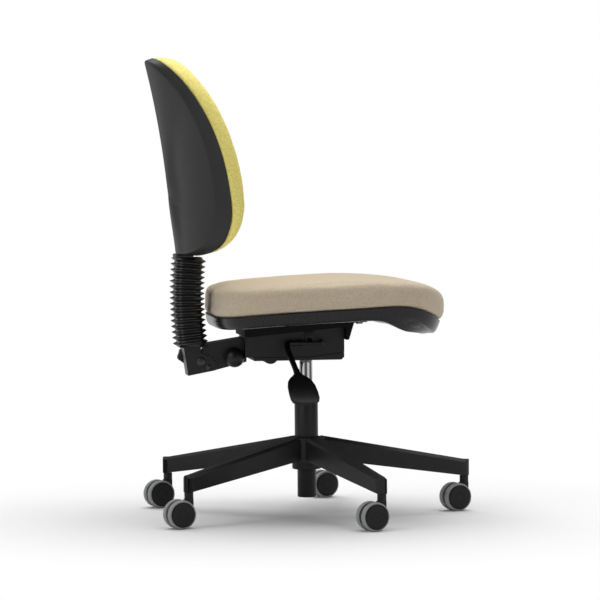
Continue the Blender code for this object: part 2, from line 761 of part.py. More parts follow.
def disc_profile():
    """Section of a wheel disc, whose flange covers the tyre's side and whose blind bore takes the spigot."""
    seat = tread_radius() - TYRE_THICKNESS - GAP
    flange = seat + DISC_OVERLAP
    face = CASTOR_HALF_WIDTH - DISC_FLANGE
    bore = SPIGOT_RADIUS + GAP
    bore_end = CASTOR_HALF_WIDTH - SPIGOT_END_WALL + GAP
    return [(0, CASTOR_HALF_WIDTH), (flange - DISC_FLANGE / 2, CASTOR_HALF_WIDTH),
            (flange, CASTOR_HALF_WIDTH - DISC_FLANGE / 2), (flange, face), (seat, face),
            (seat, WHEEL_INNER_FACE), (bore, WHEEL_INNER_FACE), (bore, bore_end), (0, bore_end)]


def hood_outline():
    """Side view of the castor's middle plate: a round hood and the riser that carries the neck."""
    middle = (CASTOR_TRAIL, TYRE_RADIUS)
    riser_top = NECK_BOTTOM + OVERCUT / 2
    behind = math.degrees(math.acos((RISER_HALF_WIDTH - CASTOR_TRAIL) / FORK_RADIUS))
    hood = arc(middle, FORK_RADIUS, HOOD_REAR_ANGLE, behind - HOOD_STOP, ARC_STEPS)
    front = arc(middle, FORK_RADIUS, *HOOD_FRONT_ANGLES, CORNER_STEPS)
    return hood + [(RISER_HALF_WIDTH, riser_top), (-RISER_HALF_WIDTH, riser_top),
                   (-RISER_HALF_WIDTH, TYRE_RADIUS + RISER_HALF_WIDTH)] + front


def make_castor(number, angle):
    """A twin-wheel castor, modelled with its stem on the local Z axis and rolling along local -Y."""
    stand = bpy.data.objects.new(f"castor_{number}", None)
    bpy.context.collection.objects.link(stand)
    stand.location = (STEM_CIRCLE * math.sin(angle), -STEM_CIRCLE * math.cos(angle), 0)
    stand.rotation_euler = (0, 0, CASTOR_YAW)

    stem_bottom = NECK_BOTTOM + STEM_FLOOR
    stem_top = ARM_TIP_BOTTOM + STEM_ENGAGEMENT - GAP
    place(f"castor_stem_{number}", rod(STEM_RADIUS, stem_bottom + GAP, stem_top), STEEL, parent=stand)

    axle = (0, CASTOR_TRAIL, TYRE_RADIUS)
    plate = side_slab(hood_outline(), -FORK_HALF_WIDTH, FORK_HALF_WIDTH)
    body = place(f"castor_body_{number}", plate, ACETAL, parent=stand)
    weld(body, rod(NECK_RADIUS, NECK_BOTTOM, NECK_TOP), "neck")
    spigot = CASTOR_HALF_WIDTH - SPIGOT_END_WALL
    weld(body, moved(rod(SPIGOT_RADIUS, -spigot, spigot), across(*axle)), "spigots")
    cut(body, rod(STEM_RADIUS + GAP, stem_bottom, NECK_TOP + OVERCUT), "stem_hole")

    flat_down = math.pi / WHEEL_FACETS
    for side, outward in (("left", 1), ("right", -1)):
        for name, profile, ring, finish in (("wheel", disc_profile(), False, ACETAL),
                                            ("tyre", tyre_profile(), True, TREAD)):
            shape = moved(turned(profile, WHEEL_FACETS, ring, flat_down), across(*axle, outward))
            place(f"{name}_{side}_{number}", shape, finish, pivot=axle, parent=stand)


# Mechanism

def housing_top(y):
    return HOUSING_TOP - HOUSING_SLOPE * y


def housing_lower_edge(y):
    return HOUSING_LOWER_EDGE - HOUSING_LOWER_SLOPE * min(y, 0.0)


def fork_arm_start():
    return HOUSING_REAR - 2 * HOUSING_WALL


def fork_arm_top(y):
    """Upper edge of the rear fork arm, which falls from the housing to its knee above the elbow."""
    start = fork_arm_start()
    height = housing_top(HOUSING_REAR) - FORK_ARM_STEP
    return height + (KNEE_Z - height) * (y - start) / (KNEE_Y - start)


def housing_outline(wall=0.0):
    """Side view of the housing, or with a wall its open-bottomed inside."""
    front = HOUSING_FRONT + wall
    rear = HOUSING_REAR - wall
    drop = OVERCUT if wall else 0.0
    return [(front, housing_top(front) - wall), (front, housing_lower_edge(front) - drop),
            (0.0, housing_lower_edge(0.0) - drop), (rear, housing_lower_edge(rear) - drop),
            (rear, housing_top(rear) - wall)]


def fork_arm_outline():
    """Side view of the rear fork arm, rounded about the elbow pin."""
    start = fork_arm_start()
    sole = STOP_PIN_Z - STOP_PIN_RADIUS - STOP_WALL
    end = arc((ELBOW_Y, ELBOW_Z), FORK_ARM_END_RADIUS, *FORK_ARM_END_ANGLES, ARC_STEPS)
    return [(start, fork_arm_top(start)), (start, ELBOW_Z - FORK_ARM_HEEL), (STOP_PIN_Y - STOP_WALL, sole),
            (STOP_PIN_Y + STOP_PIN_RADIUS + STOP_WALL, sole)] + end + [(KNEE_Y, KNEE_Z)]


def fork_hollow_outline():
    """Side view of the hollow between the fork arm's two plates, open below and behind."""
    start = fork_arm_start() - OVERCUT
    past = ELBOW_Y + 2 * FORK_ARM_END_RADIUS
    end_top = ELBOW_Z + FORK_ARM_END_RADIUS - FORK_ARM_WALL
    return [(start, fork_arm_top(start) - FORK_ARM_WALL), (start, BRACKET_BOTTOM), (past, BRACKET_BOTTOM),
            (past, end_top), (ELBOW_Y, end_top), (KNEE_Y, KNEE_Z - FORK_ARM_WALL)]


def stop_slot():
    """Arc slot in which the stop pin travels as the back reclines, as a side view."""
    offset = Vector(STOP_PIN)
    start = math.degrees(math.atan2(offset.y, offset.x))
    end = start - math.degrees(RECLINE)
    half = STOP_PIN_RADIUS + RUNNING_ROOM
    spread = math.degrees(half / offset.length)
    outer = arc((ELBOW_Y, ELBOW_Z), offset.length + half, start + spread, end - spread, ARC_STEPS)
    inner = arc((ELBOW_Y, ELBOW_Z), offset.length - half, end - spread, start + spread, ARC_STEPS)
    return outer + inner


def make_housing():
    housing = place("mechanism_housing",
                    side_slab(housing_outline(), -HOUSING_HALF_WIDTH, HOUSING_HALF_WIDTH), PAINTED_STEEL)
    inner_half = HOUSING_HALF_WIDTH - HOUSING_WALL
    wall_middle = HOUSING_HALF_WIDTH - HOUSING_WALL / 2
    cut(housing, side_slab(housing_outline(HOUSING_WALL), -inner_half, inner_half), "inside")
    weld(housing, side_slab(fork_arm_outline(), -FORK_ARM_HALF_WIDTH, FORK_ARM_HALF_WIDTH), "fork_arm")
    fork_inner = FORK_ARM_HALF_WIDTH - FORK_ARM_WALL
    cut(housing, side_slab(fork_hollow_outline(), -fork_inner, fork_inner), "fork_inside")

    socket_radius = CYLINDER_RADIUS + GAP + SOCKET_WALL
    weld(housing, rod(socket_radius, SOCKET_BOTTOM, CYLINDER_TOP, ROUND_FACETS), "socket")
    weld(housing, block((-wall_middle, -SOCKET_WALL / 2, SOCKET_BOTTOM),
                        (wall_middle, SOCKET_WALL / 2, LEVER_Z - LEVER_RADIUS)), "socket_web")
    cut(housing, rod(CYLINDER_RADIUS + GAP, SOCKET_BOTTOM - OVERCUT, CYLINDER_TOP + OVERCUT, ROUND_FACETS),
        "socket_bore")

    slot_half = TONGUE_HALF_WIDTH + TONGUE_ROOM
    slot_top = housing_top(slot_half) - HOUSING_WALL - GAP
    cut(housing, block((-HOUSING_HALF_WIDTH - OVERCUT, -slot_half, LEVER_Z),
                       (-inner_half + OVERCUT, slot_half, slot_top)), "tongue_slot")
    for label, y in (("lug_front", LUG_FRONT_Y), ("lug_rear", LUG_REAR_Y)):
        weld(housing, block((LEVER_X - LUG_HALF_HEIGHT, y - LUG_LENGTH / 2, LEVER_Z - LUG_HALF_HEIGHT),
                            (-wall_middle, y + LUG_LENGTH / 2, LEVER_Z + LUG_HALF_HEIGHT)), label)
    pivot_hole = rod(LEVER_RADIUS + GAP, -LEVER_AHEAD - LUG_LENGTH, LEVER_BEHIND, LEVER_SIDES)
    to_lever = Matrix.Translation((LEVER_X, 0, LEVER_Z)) @ Matrix.Rotation(-math.pi / 2, 4, "X")
    cut(housing, moved(pivot_hole, to_lever), "lever_hole")

    reach = FORK_ARM_HALF_WIDTH + OVERCUT
    for label, radius, y, z in (("pin_hole", PIN_RADIUS, ELBOW_Y, ELBOW_Z),
                                ("stud_hole", KNOB_STUD_RADIUS, TENSION_Y, TENSION_Z)):
        cut(housing, moved(rod(radius + GAP, -reach, reach), across(0, y, z)), label)
    cut(housing, side_slab(stop_slot(), -reach, reach), "stop_slot")
    rivet_end = FORK_ARM_HALF_WIDTH + RIVET_HEIGHT
    weld(housing, moved(rod(RIVET_RADIUS, -rivet_end, rivet_end),
                        across(0, ELBOW_Y + RIVET[0], ELBOW_Z + RIVET[1])), "spring_rivet")


def make_cover():
    """Lower cover with the raised front and the rounded bump behind the column."""
    depth = COVER_BUMP_RADIUS - COVER_BUMP_DROP
    half_angle = math.degrees(math.acos(depth / COVER_BUMP_RADIUS))
    bump_centre = (COVER_BUMP_Y, COVER_BOTTOM + depth)
    bump = arc(bump_centre, COVER_BUMP_RADIUS, 270 - half_angle, 270 + half_angle, ARC_STEPS)
    front = [(HOUSING_FRONT, housing_lower_edge(HOUSING_FRONT) - GAP),
             (HOUSING_FRONT, COVER_BOTTOM + COVER_CHAMFER), (HOUSING_FRONT + COVER_CHAMFER, COVER_BOTTOM)]
    rear = [(COVER_BEHIND, COVER_BOTTOM), (COVER_BEHIND, housing_lower_edge(COVER_BEHIND) - GAP),
            (0.0, housing_lower_edge(0.0) - GAP)]
    outline = front + bump + rear
    cover = place("housing_cover", side_slab(outline, -HOUSING_HALF_WIDTH, HOUSING_HALF_WIDTH), NYLON)
    cut(cover, rod(CYLINDER_RADIUS + COVER_HOLE_ROOM, COVER_BOTTOM - OVERCUT, HOUSING_LOWER_EDGE + OVERCUT,
                   ROUND_FACETS), "column_hole")


def make_height_lever():
    pivot = Vector((LEVER_X, 0, LEVER_Z))
    root = pivot + Vector(PADDLE_ROOT)
    run = Vector(PADDLE_REACH)
    way = run.normalized()
    elbow = pivot + Vector((0, LEVER_BEHIND, 0))
    approach = root - way * LEVER_BEND
    path = [pivot - Vector((0, LEVER_AHEAD, 0)), elbow - Vector((0, LEVER_BEND, 0)),
            elbow + Vector(LEVER_KNEE_IN), elbow + Vector(LEVER_KNEE_OUT),
            elbow + (approach - elbow) * LEVER_SAG_SHARE + Vector((0, LEVER_SAG, 0)), approach, root]
    lever = place("height_lever", swept(path, circle(LEVER_RADIUS, LEVER_SIDES)), PAINTED_STEEL, pivot=pivot)
    press = CYLINDER_TOP + BUTTON_RISE + GAP
    half_rod = LEVER_RADIUS / 2
    tongue = [(TONGUE_END, press), (TONGUE_END, press + TONGUE_THICKNESS),
              (LEVER_X + TONGUE_FOOT, press + TONGUE_THICKNESS), (LEVER_X, LEVER_Z + half_rod),
              (LEVER_X, LEVER_Z - half_rod), (LEVER_X + TONGUE_FOOT, press)]
    upright = Matrix.Translation((0, TONGUE_HALF_WIDTH, 0)) @ Matrix.Rotation(math.pi / 2, 4, "X")
    weld(lever, moved(slab(tongue, 2 * TONGUE_HALF_WIDTH), upright), "tongue")

    length = run.length
    bowl = arc((0.0, 0.0), 1.0, *PADDLE_BOWL_ANGLES, ARC_STEPS)
    rim = [(PADDLE_HALF_WIDTH * u, length - PADDLE_BOWL + PADDLE_BOWL * v) for u, v in bowl]
    outline = [(-PADDLE_NECK, 0.0)] + rim + [(PADDLE_NECK, 0.0)]
    shape = slab(outline, PADDLE_THICKNESS)
    bmesh.ops.bevel(shape, geom=shape.edges[:], offset=PADDLE_EDGE, segments=1, affect="EDGES", profile=0.5)
    side = (Vector((0, 1, 0)) - way * way.y).normalized()
    normal = side.cross(way)
    frame = Matrix((side, way, normal)).transposed().to_4x4()
    frame.translation = root + way * GAP - normal * PADDLE_THICKNESS / 2
    place("lever_paddle", moved(shape, frame), NYLON, pivot=pivot)


def make_tension_knob():
    """Domed knob on the sitter's right, whose stud runs through the fork arm."""
    near = FORK_ARM_HALF_WIDTH + GAP
    skirt = near + TENSION_SKIRT
    crown = TENSION_LENGTH - TENSION_SKIRT
    profile = [(0, -FORK_ARM_HALF_WIDTH), (KNOB_STUD_RADIUS, -FORK_ARM_HALF_WIDTH), (KNOB_STUD_RADIUS, near),
               (TENSION_RADIUS - TENSION_BEVEL, near), (TENSION_RADIUS, near + TENSION_BEVEL)]
    dome = arc((0.0, 0.0), 1.0, 0, 90, ARC_STEPS)[:-1]
    profile += [(TENSION_RADIUS * u, skirt + crown * v) for u, v in dome]
    profile.append((0, near + TENSION_LENGTH))
    place("tension_knob", moved(turned(profile, ring=False), across(0, TENSION_Y, TENSION_Z, -1)), NYLON,
          pivot=(0, TENSION_Y, TENSION_Z))


def make_hinge_pin():
    end = BRACKET_HALF_WIDTH + PIN_CHAMFER
    profile = [(0, -end), (PIN_RADIUS - PIN_CHAMFER, -end), (PIN_RADIUS, PIN_CHAMFER - end),
               (PIN_RADIUS, end - PIN_CHAMFER), (PIN_RADIUS - PIN_CHAMFER, end), (0, end)]
    pin = turned(profile, SMALL_FACETS, ring=False)
    place("hinge_pin", moved(pin, across(0, ELBOW_Y, ELBOW_Z)), PAINTED_STEEL)


# Elbow bracket and what turns with it

def bar_middle(z):
    """Middle of the bar's straight foot at a height."""
    return ELBOW_Y + BAR_BEHIND + BAR_LEAN * (z - ELBOW_Z)


def bar_strip(front, rear, low, high):
    """Side view of a strip that follows the bar's foot, between two offsets from its middle."""
    stretch = math.hypot(1.0, BAR_LEAN)
    return [(bar_middle(low) + front * stretch, low), (bar_middle(low) + rear * stretch, low),
            (bar_middle(high) + rear * stretch, high), (bar_middle(high) + front * stretch, high)]


def elbow_holes(piece, reach):
    """Holes for the hinge pin and the stop pin."""
    for label, radius, y, z in (("pin_hole", PIN_RADIUS, ELBOW_Y, ELBOW_Z),
                                ("stop_hole", STOP_PIN_RADIUS, STOP_PIN_Y, STOP_PIN_Z)):
        cut(piece, moved(rod(radius + GAP, -reach, reach), across(0, y, z)), label)


def make_bracket():
    pivot = (0, ELBOW_Y, ELBOW_Z)
    slot = BAR_THICKNESS / 2 + GAP
    rear = bar_strip(0, slot + BRACKET_WEB, BRACKET_BOTTOM, BRACKET_TOP)
    nose = [(ELBOW_Y + y, ELBOW_Z + z) for y, z in BRACKET_NOSE]
    outline = [rear[1], rear[2], (ELBOW_Y + BRACKET_COLUMN, BRACKET_TOP)] + nose
    elbow = side_slab(outline, -BRACKET_HALF_WIDTH, BRACKET_HALF_WIDTH)
    bracket = place("back_bracket", elbow, PAINTED_STEEL, pivot=pivot)
    shelf_half = BELLOWS_WIDTH / 2 - BELLOWS_FIN_DEPTH
    shelf_reach = BELLOWS_DEPTH / 2 - BELLOWS_FIN_DEPTH
    shelf_top = BELLOWS_BOTTOM - GAP
    weld(bracket, block((-shelf_half, BELLOWS_Y - shelf_reach, shelf_top - SHELF_THICKNESS),
                        (shelf_half, BELLOWS_Y + shelf_reach, shelf_top)), "shelf")
    inner = BRACKET_HALF_WIDTH - BRACKET_CHEEK
    pocket_reach = bar_middle(ELBOW_Z) - ELBOW_Y - 2 * BRACKET_NOSE[2][0]
    cut(bracket, side_slab(bar_strip(-pocket_reach, 0.0, BRACKET_BOTTOM - BRACKET_DROP, BRACKET_SHELF),
                           -inner, inner), "fork_pocket")
    cut(bracket, side_slab(bar_strip(-slot, slot, BRACKET_BOTTOM - OVERCUT, BRACKET_TOP + OVERCUT),
                           -BAR_HALF_WIDTH - GAP, BAR_HALF_WIDTH + GAP), "bar_slot")
    elbow_holes(bracket, BRACKET_HALF_WIDTH + OVERCUT)
    cut(bracket, moved(rod(KNOB_STUD_RADIUS + GAP, 0, BRACKET_HALF_WIDTH + OVERCUT),
                       across(0, bar_middle(CLAMP_Z), CLAMP_Z)), "clamp_hole")

    head_low = BRACKET_HALF_WIDTH + GAP
    head_high = head_low + STOP_HEAD_HEIGHT
    pin = turned([(0, -head_high), (STOP_HEAD_RADIUS, -head_high), (STOP_HEAD_RADIUS, -head_low),
                  (STOP_PIN_RADIUS, -head_low), (STOP_PIN_RADIUS, head_low), (STOP_HEAD_RADIUS, head_low),
                  (STOP_HEAD_RADIUS, head_high), (0, head_high)], SMALL_FACETS, ring=False)
    place("stop_pin", moved(pin, across(0, STOP_PIN_Y, STOP_PIN_Z)), PAINTED_STEEL, pivot=pivot)

    toe = arc((ELBOW_Y, ELBOW_Z), 2 * PIN_RADIUS, TOE_EYE_ANGLE, -TOE_EYE_ANGLE, ARC_STEPS) + [
        (STOP_PIN_Y + TOE_EYE / 2, STOP_PIN_Z - TOE_EYE), (STOP_PIN_Y - TOE_EYE, STOP_PIN_Z - TOE_EYE),
        (TOE_END_Y, TOE_TOP - TOE_EYE), (TOE_END_Y, TOE_TOP), (STOP_PIN_Y - TOE_EYE, TOE_TOP)]
    lever = place("spring_toe", side_slab(toe, -TOE_HALF_WIDTH, TOE_HALF_WIDTH), PAINTED_STEEL, pivot=pivot)
    elbow_holes(lever, TOE_HALF_WIDTH + OVERCUT)


def make_recline_spring():
    """Coil between the toe and the fork arm's roof. Prints its least gap to itself."""
    low = TOE_TOP + GAP + SPRING_WIRE / 2
    reach = SPRING_RADIUS + SPRING_WIRE / 2
    high = fork_arm_top(SPRING_Y + reach) - FORK_ARM_WALL - GAP - SPRING_WIRE / 2
    steps = SPRING_TURNS * SPRING_STEPS
    path = []
    for i in range(steps + 1):
        turn = math.tau * i / SPRING_STEPS
        path.append(Vector((SPRING_RADIUS * math.cos(turn), SPRING_Y + SPRING_RADIUS * math.sin(turn),
                            low + (high - low) * i / steps)))
    place("recline_spring", swept(path, circle(SPRING_WIRE / 2, SPRING_SIDES)), STEEL)
    half_turn = SPRING_STEPS // 2
    gaps = [(path[i] - path[j]).length for i in range(len(path)) for j in range(i + half_turn, len(path))]
    print("recline_spring: least gap to itself", round(min(gaps) - SPRING_WIRE, 5))


def make_clamp_knob():
    """Lobed knob on the sitter's left, whose stud bears on the bar's edge."""
    near = BRACKET_HALF_WIDTH + GAP
    head_start = near + CLAMP_STAND_OFF
    steps = CLAMP_LOBES * CLAMP_LOBE_STEPS
    lobes = []
    for i in range(steps):
        angle = math.tau * i / steps
        radius = CLAMP_RADIUS - CLAMP_LOBE_DEPTH / 2 * (1 - math.cos(CLAMP_LOBES * angle))
        lobes.append((radius * math.cos(angle), radius * math.sin(angle)))
    place_at = across(0, bar_middle(CLAMP_Z), CLAMP_Z)
    head = moved(slab(lobes, CLAMP_LENGTH), Matrix.Translation((0, 0, head_start)))
    knob = place("clamp_knob", moved(head, place_at), NYLON, pivot=place_at.translation)
    tip = BAR_HALF_WIDTH + GAP
    root = head_start + OVERCUT
    boss = 2 * KNOB_STUD_RADIUS
    stud = turned([(0, tip), (KNOB_STUD_RADIUS, tip), (KNOB_STUD_RADIUS, near), (boss, near), (boss, root),
                   (0, root)], SMALL_FACETS, ring=False)
    weld(knob, moved(stud, place_at), "stud")


# Upright bar and bellows

def spine(z):
    """Rearmost line of the back, in its middle plane."""
    rise = z - BACK_BOTTOM
    return SPINE_Y + SPINE_LEAN * rise + SPINE_BEND * rise * abs(rise)


def board_rear(x, z):
    return spine(z) - BOARD_DEPTH - BOARD_WRAP * (x / BOARD_WRAP_WIDTH) ** 2


def bar_path():
    """Middle of the bar: straight in the bracket, then a soft bend up to the back board."""
    offset = BAR_THICKNESS / 2 + SOFT_GAP
    foot = Vector((0, bar_middle(BAR_STRAIGHT_TOP), BAR_STRAIGHT_TOP))
    head = Vector((0, board_rear(0, BOARD_FOOT) + offset, BOARD_FOOT))
    reach = (head.z - foot.z) * BAR_BOW
    leave = foot + Vector((0, BAR_LEAN, 1)) * reach
    arrive = head - Vector((0, SPINE_LEAN, 1)) * reach
    points = [Vector((0, bar_middle(BAR_BOTTOM), BAR_BOTTOM))]
    for i in range(BAR_BOW_STEPS + 1):
        t = i / BAR_BOW_STEPS
        rest = 1 - t
        points.append(foot * rest ** 3 + leave * (3 * t * rest ** 2)
                      + arrive * (3 * t * t * rest) + head * t ** 3)
    for i in range(BAR_BOARD_STEPS):
        z = BOARD_FOOT + BAR_ON_BOARD * (i + 1) / BAR_BOARD_STEPS
        points.append(Vector((0, board_rear(0, z) + offset, z)))
    return points


def make_upright_bar():
    points = bar_path()
    wide = Vector((BAR_HALF_WIDTH, 0, 0))
    rings = []
    for i, point in enumerate(points):
        onward = (points[min(i + 1, len(points) - 1)] - points[max(i - 1, 0)]).normalized()
        back = Vector((0, onward.z, -onward.y)) * BAR_THICKNESS / 2
        rings.append([point - wide - back, point + wide - back, point + wide + back, point - wide + back])
    bar = place("upright_bar", lofted(rings), PAINTED_STEEL, pivot=(0, bar_middle(ELBOW_Z), ELBOW_Z))
    reach = 2 * BAR_THICKNESS
    holes = [moved(rod(STUD_RADIUS + GAP, -reach, reach), stud_frame(x, z)) for x, z in stud_places()]
    cut(bar, merged(holes), "stud_holes")


def stud_places():
    return [(x, z) for z in STUD_HEIGHTS for x in (-STUD_X, STUD_X)]


def stud_frame(x, z):
    """Frame on the board's rear face whose +Z points forward, into the board."""
    low, high = STUD_HEIGHTS
    middle = (low + high) / 2
    slope = (spine(high) - spine(low)) / (high - low)
    y = board_rear(0, middle) + slope * (z - middle)
    return Matrix.Translation((x, y, z)) @ Matrix.Rotation(math.pi / 2 - math.atan(slope), 4, "X")


def make_bar_clamp():
    """Plate behind the bar, with four studs through the bar into the board."""
    near = -BAR_THICKNESS - 2 * SOFT_GAP
    low, high = STUD_HEIGHTS
    half_width = STUD_X + CLAMP_PLATE_MARGIN
    reach = (high - low) / 2 + 2 * CLAMP_PLATE_MARGIN
    plate = block((-half_width, -reach, near - CLAMP_PLATE_THICKNESS), (half_width, reach, near - GAP))
    clamp = place("bar_clamp", moved(plate, stud_frame(0, (low + high) / 2)), STEEL)
    studs = [moved(rod(STUD_RADIUS, near - CLAMP_PLATE_THICKNESS / 2, BACK_BOARD_THICKNESS - STUD_SHORT),
                   stud_frame(x, z)) for x, z in stud_places()]
    weld(clamp, merged(studs), "studs")


def bellows_ring(share, inset):
    """Rounded oblong round the bellows' axis, level at both ends and square to the bow between them."""
    z = BELLOWS_BOTTOM + BELLOWS_LENGTH * share
    y = BELLOWS_Y + BELLOWS_LEAN * share + 4 * BELLOWS_BOW * share * (1 - share)
    half_x = BELLOWS_WIDTH / 2 - inset
    half_y = BELLOWS_DEPTH / 2 - inset
    corner = BELLOWS_CORNER - inset
    level = min(1.0, BELLOWS_LEVEL_RATE * share * (1 - share))
    slope = 4 * BELLOWS_BOW * (1 - 2 * share) / BELLOWS_LENGTH * level
    ring = []
    for quarter, (sx, sy) in enumerate(((1, 1), (-1, 1), (-1, -1), (1, -1))):
        centre = (sx * (half_x - corner), sy * (half_y - corner))
        for u, v in arc(centre, corner, quarter * 90, quarter * 90 + 90, CORNER_STEPS):
            ring.append((u, y + v, z - slope * v))
    return ring


def make_bellows():
    steps = 2 * BELLOWS_FINS
    bore_inset = BELLOWS_FIN_DEPTH + BELLOWS_WALL
    outer = [bellows_ring(i / steps, 0 if i % 2 else BELLOWS_FIN_DEPTH) for i in range(steps + 1)]
    bore = [bellows_ring(i / BORE_STEPS, bore_inset) for i in range(BORE_STEPS, -1, -1)]
    place("bellows", lofted(outer + bore, looped=True), RUBBER)


# Seat

def seat_ring(inset, height, tuck=0.0):
    """Ring inside the seat's plan, with a height that depends on the point.

    A tuck draws the front of the ring back, under the nose of the seat.
    """
    half_width = SEAT_HALF_WIDTH - inset
    half_length = SEAT_LENGTH / 2 - inset
    ring = []
    for i in range(PAD_FACETS):
        turn = math.tau * (i + 0.5) / PAD_FACETS
        power = 2 / (SEAT_REAR_SQUARENESS if math.sin(turn) > 0 else SEAT_FRONT_SQUARENESS)
        across_seat = signed_power(math.cos(turn), power)
        along_seat = signed_power(math.sin(turn), power)
        x = half_width * across_seat * (1 - SEAT_TAPER * along_seat)
        y = SEAT_MIDDLE + half_length * along_seat
        y += tuck * smoothstep((SEAT_FRONT + TUCK_START - y) / TUCK_LENGTH)
        ring.append((x, y, height(x, y)))
    return ring


def seat_pole(height):
    return [(0, SEAT_MIDDLE, height(0, SEAT_MIDDLE))]


def ahead_of(start, y):
    """How far a point lies ahead of a line that is set back from the seat's front edge."""
    return max(SEAT_FRONT + start - y, 0.0)


def pan_under(x, y):
    """Flat middle of the pan's floor, which rests on the seat plate."""
    return PAN_FLOOR - PAN_SLOPE * y


def seam_height(x, y):
    """Line where the pad meets the pan, which falls away at the front and a little at the rear."""
    behind = max(y - SEAT_REAR + SEAM_REAR_LENGTH, 0.0)
    fall = SEAM_FALL * ahead_of(SEAM_FALL_START, y) ** 2 + SEAM_REAR_FALL * behind ** 2
    return PAN_FLOOR + PAN_FLOOR_DEPTH - SEAM_SLOPE * y - fall


def skirt_bottom(x, y):
    """Lower edge of the pan, which drops into a lip at the front."""
    lip = PAN_LIP * smoothstep(ahead_of(PAN_LIP_START, y) / PAN_LIP_LENGTH)
    fade = PAN_LIP_FADE * SEAM_FALL * ahead_of(SEAM_FALL_START, y) ** 2
    return seam_height(x, y) - PAN_SKIRT - lip + fade


def floor_bend(x, y):
    """How far the pan's floor has left the flat middle, from 0 on the seat plate to 1 at the skirt."""
    rear_room = SEAT_REAR - FLOOR_INSETS[-1] - PLATE_REAR - FLAT_MARGIN
    past_side = (abs(x) - PLATE_HALF_WIDTH - FLAT_MARGIN) / FLOOR_BEND
    past_front = (PLATE_FRONT - FLAT_MARGIN - y) / FLOOR_BEND
    past_rear = (y - PLATE_REAR - FLAT_MARGIN) / max(rear_room, FLAT_MARGIN)
    return smoothstep(max(past_side, past_front, past_rear))


def floor_height(rise):
    def height(x, y):
        bend = floor_bend(x, y)
        return pan_under(x, y) * (1 - bend) + skirt_bottom(x, y) * bend + rise
    return height


def floor_rings(rise):
    """Rings of the pan's floor, flat in the middle and bent to the skirt, raised by a distance."""
    rings = [seat_pole(floor_height(rise)), seat_ring(FLAT_INSET, floor_height(rise))]
    rings += [seat_ring(inset, floor_height(rise), TUCK) for inset in FLOOR_INSETS]
    return rings


def board_top(x, y):
    return pan_under(x, y) + PAN_WALL + SOFT_GAP + BOARD_THICKNESS


def lifted(height, rise):
    return lambda x, y: height(x, y) + rise


def make_seat_pan():
    low = lifted(skirt_bottom, PAN_SKIRT_ROUND)
    outside = floor_rings(0.0) + [
        seat_ring(PAN_SKIRT_INSET, skirt_bottom, TUCK), seat_ring(PAN_RIM / 2, low, TUCK / 2),
        seat_ring(0.0, seam_height)]
    inside = [seat_ring(PAN_RIM, seam_height), seat_ring(1.5 * PAN_RIM, lifted(low, PAN_WALL), TUCK / 2),
              seat_ring(PAN_SKIRT_INSET + PAN_WALL, lifted(skirt_bottom, 1.5 * PAN_WALL), TUCK)]
    pan = place("seat_pan", lofted(outside + inside + floor_rings(PAN_WALL)[::-1]), SHELL_PLASTIC)
    cut(pan, bolt_holes(), "bolt_holes")


def make_seat_board():
    bottom = PAN_WALL + SOFT_GAP
    rings = floor_rings(bottom) + floor_rings(bottom + BOARD_THICKNESS)[::-1]
    board = place("seat_board", lofted(rings), PLYWOOD)
    half = BOLT_X + BOLT_MARGIN + GAP
    cut(board, side_slab(bolt_plate_outline(GAP), -half, half), "plate_recess")
    cut(board, bolt_holes(), "bolt_holes")


def pad_top(x, y):
    """Crowned upper face of the seat pad, which falls away to the front."""
    along = (y - SEAT_MIDDLE) / (SEAT_LENGTH / 2)
    fullness = PAD_REAR_FULLNESS if along > 0 else PAD_FRONT_FULLNESS
    share = min((x / SEAT_HALF_WIDTH) ** 2 + abs(along) ** fullness, 1.0)
    fall = PAD_FALL * ahead_of(PAD_FALL_START, y) ** 2 + NOSE_FALL * ahead_of(NOSE_START, y) ** 2
    rim = PAN_FLOOR + PAN_FLOOR_DEPTH + PAD_HEIGHT - (SEAM_SLOPE + PAD_SLOPE) * y
    return rim + PAD_CROWN * (1 - share) - fall


def pad_side(share):
    """Height part of the way up the side of the seat pad, from its seam to its rim."""
    return lambda x, y: seam_height(x, y) + SOFT_GAP + share * (pad_top(x, y) - seam_height(x, y))


def make_seat_cushion():
    below = floor_rings(PAN_WALL + BOARD_THICKNESS + 2 * SOFT_GAP)
    tongue_low, tongue_high = PAD_TONGUE_INSETS
    tongue = [seat_ring(tongue_low, lifted(seam_height, -PAD_TONGUE), TUCK / 2),
              seat_ring(tongue_high, lifted(seam_height, SOFT_GAP))]
    side = [seat_ring(inset, pad_side(share)) for inset, share in PAD_SIDE]
    crown = [seat_ring(inset, pad_top) for inset in PAD_TOP_INSETS] + [seat_pole(pad_top)]
    place("seat_cushion", lofted(below + tongue + side + crown), BEIGE_CLOTH)


def bolt_places():
    return [(x, y) for x in (-BOLT_X, BOLT_X) for y in (BOLT_FRONT_Y, BOLT_REAR_Y)]


def bolt_holes():
    """Holes for the studs, from below the seat plate up into the plate on the board."""
    holes = []
    for x, y in bolt_places():
        low = pan_under(x, y) - PLATE_HEIGHT - OVERCUT
        high = board_top(x, y) - BOLT_PLATE_THICKNESS + GAP
        holes.append(moved(rod(BOLT_RADIUS + GAP, low, high), Matrix.Translation((x, y, 0))))
    return merged(holes)


def nut_seat(x, y):
    """Height of the shoulder that a stud's nut bears on, inside the seat plate."""
    return pan_under(x, y) - GAP - NUT_SHOULDER


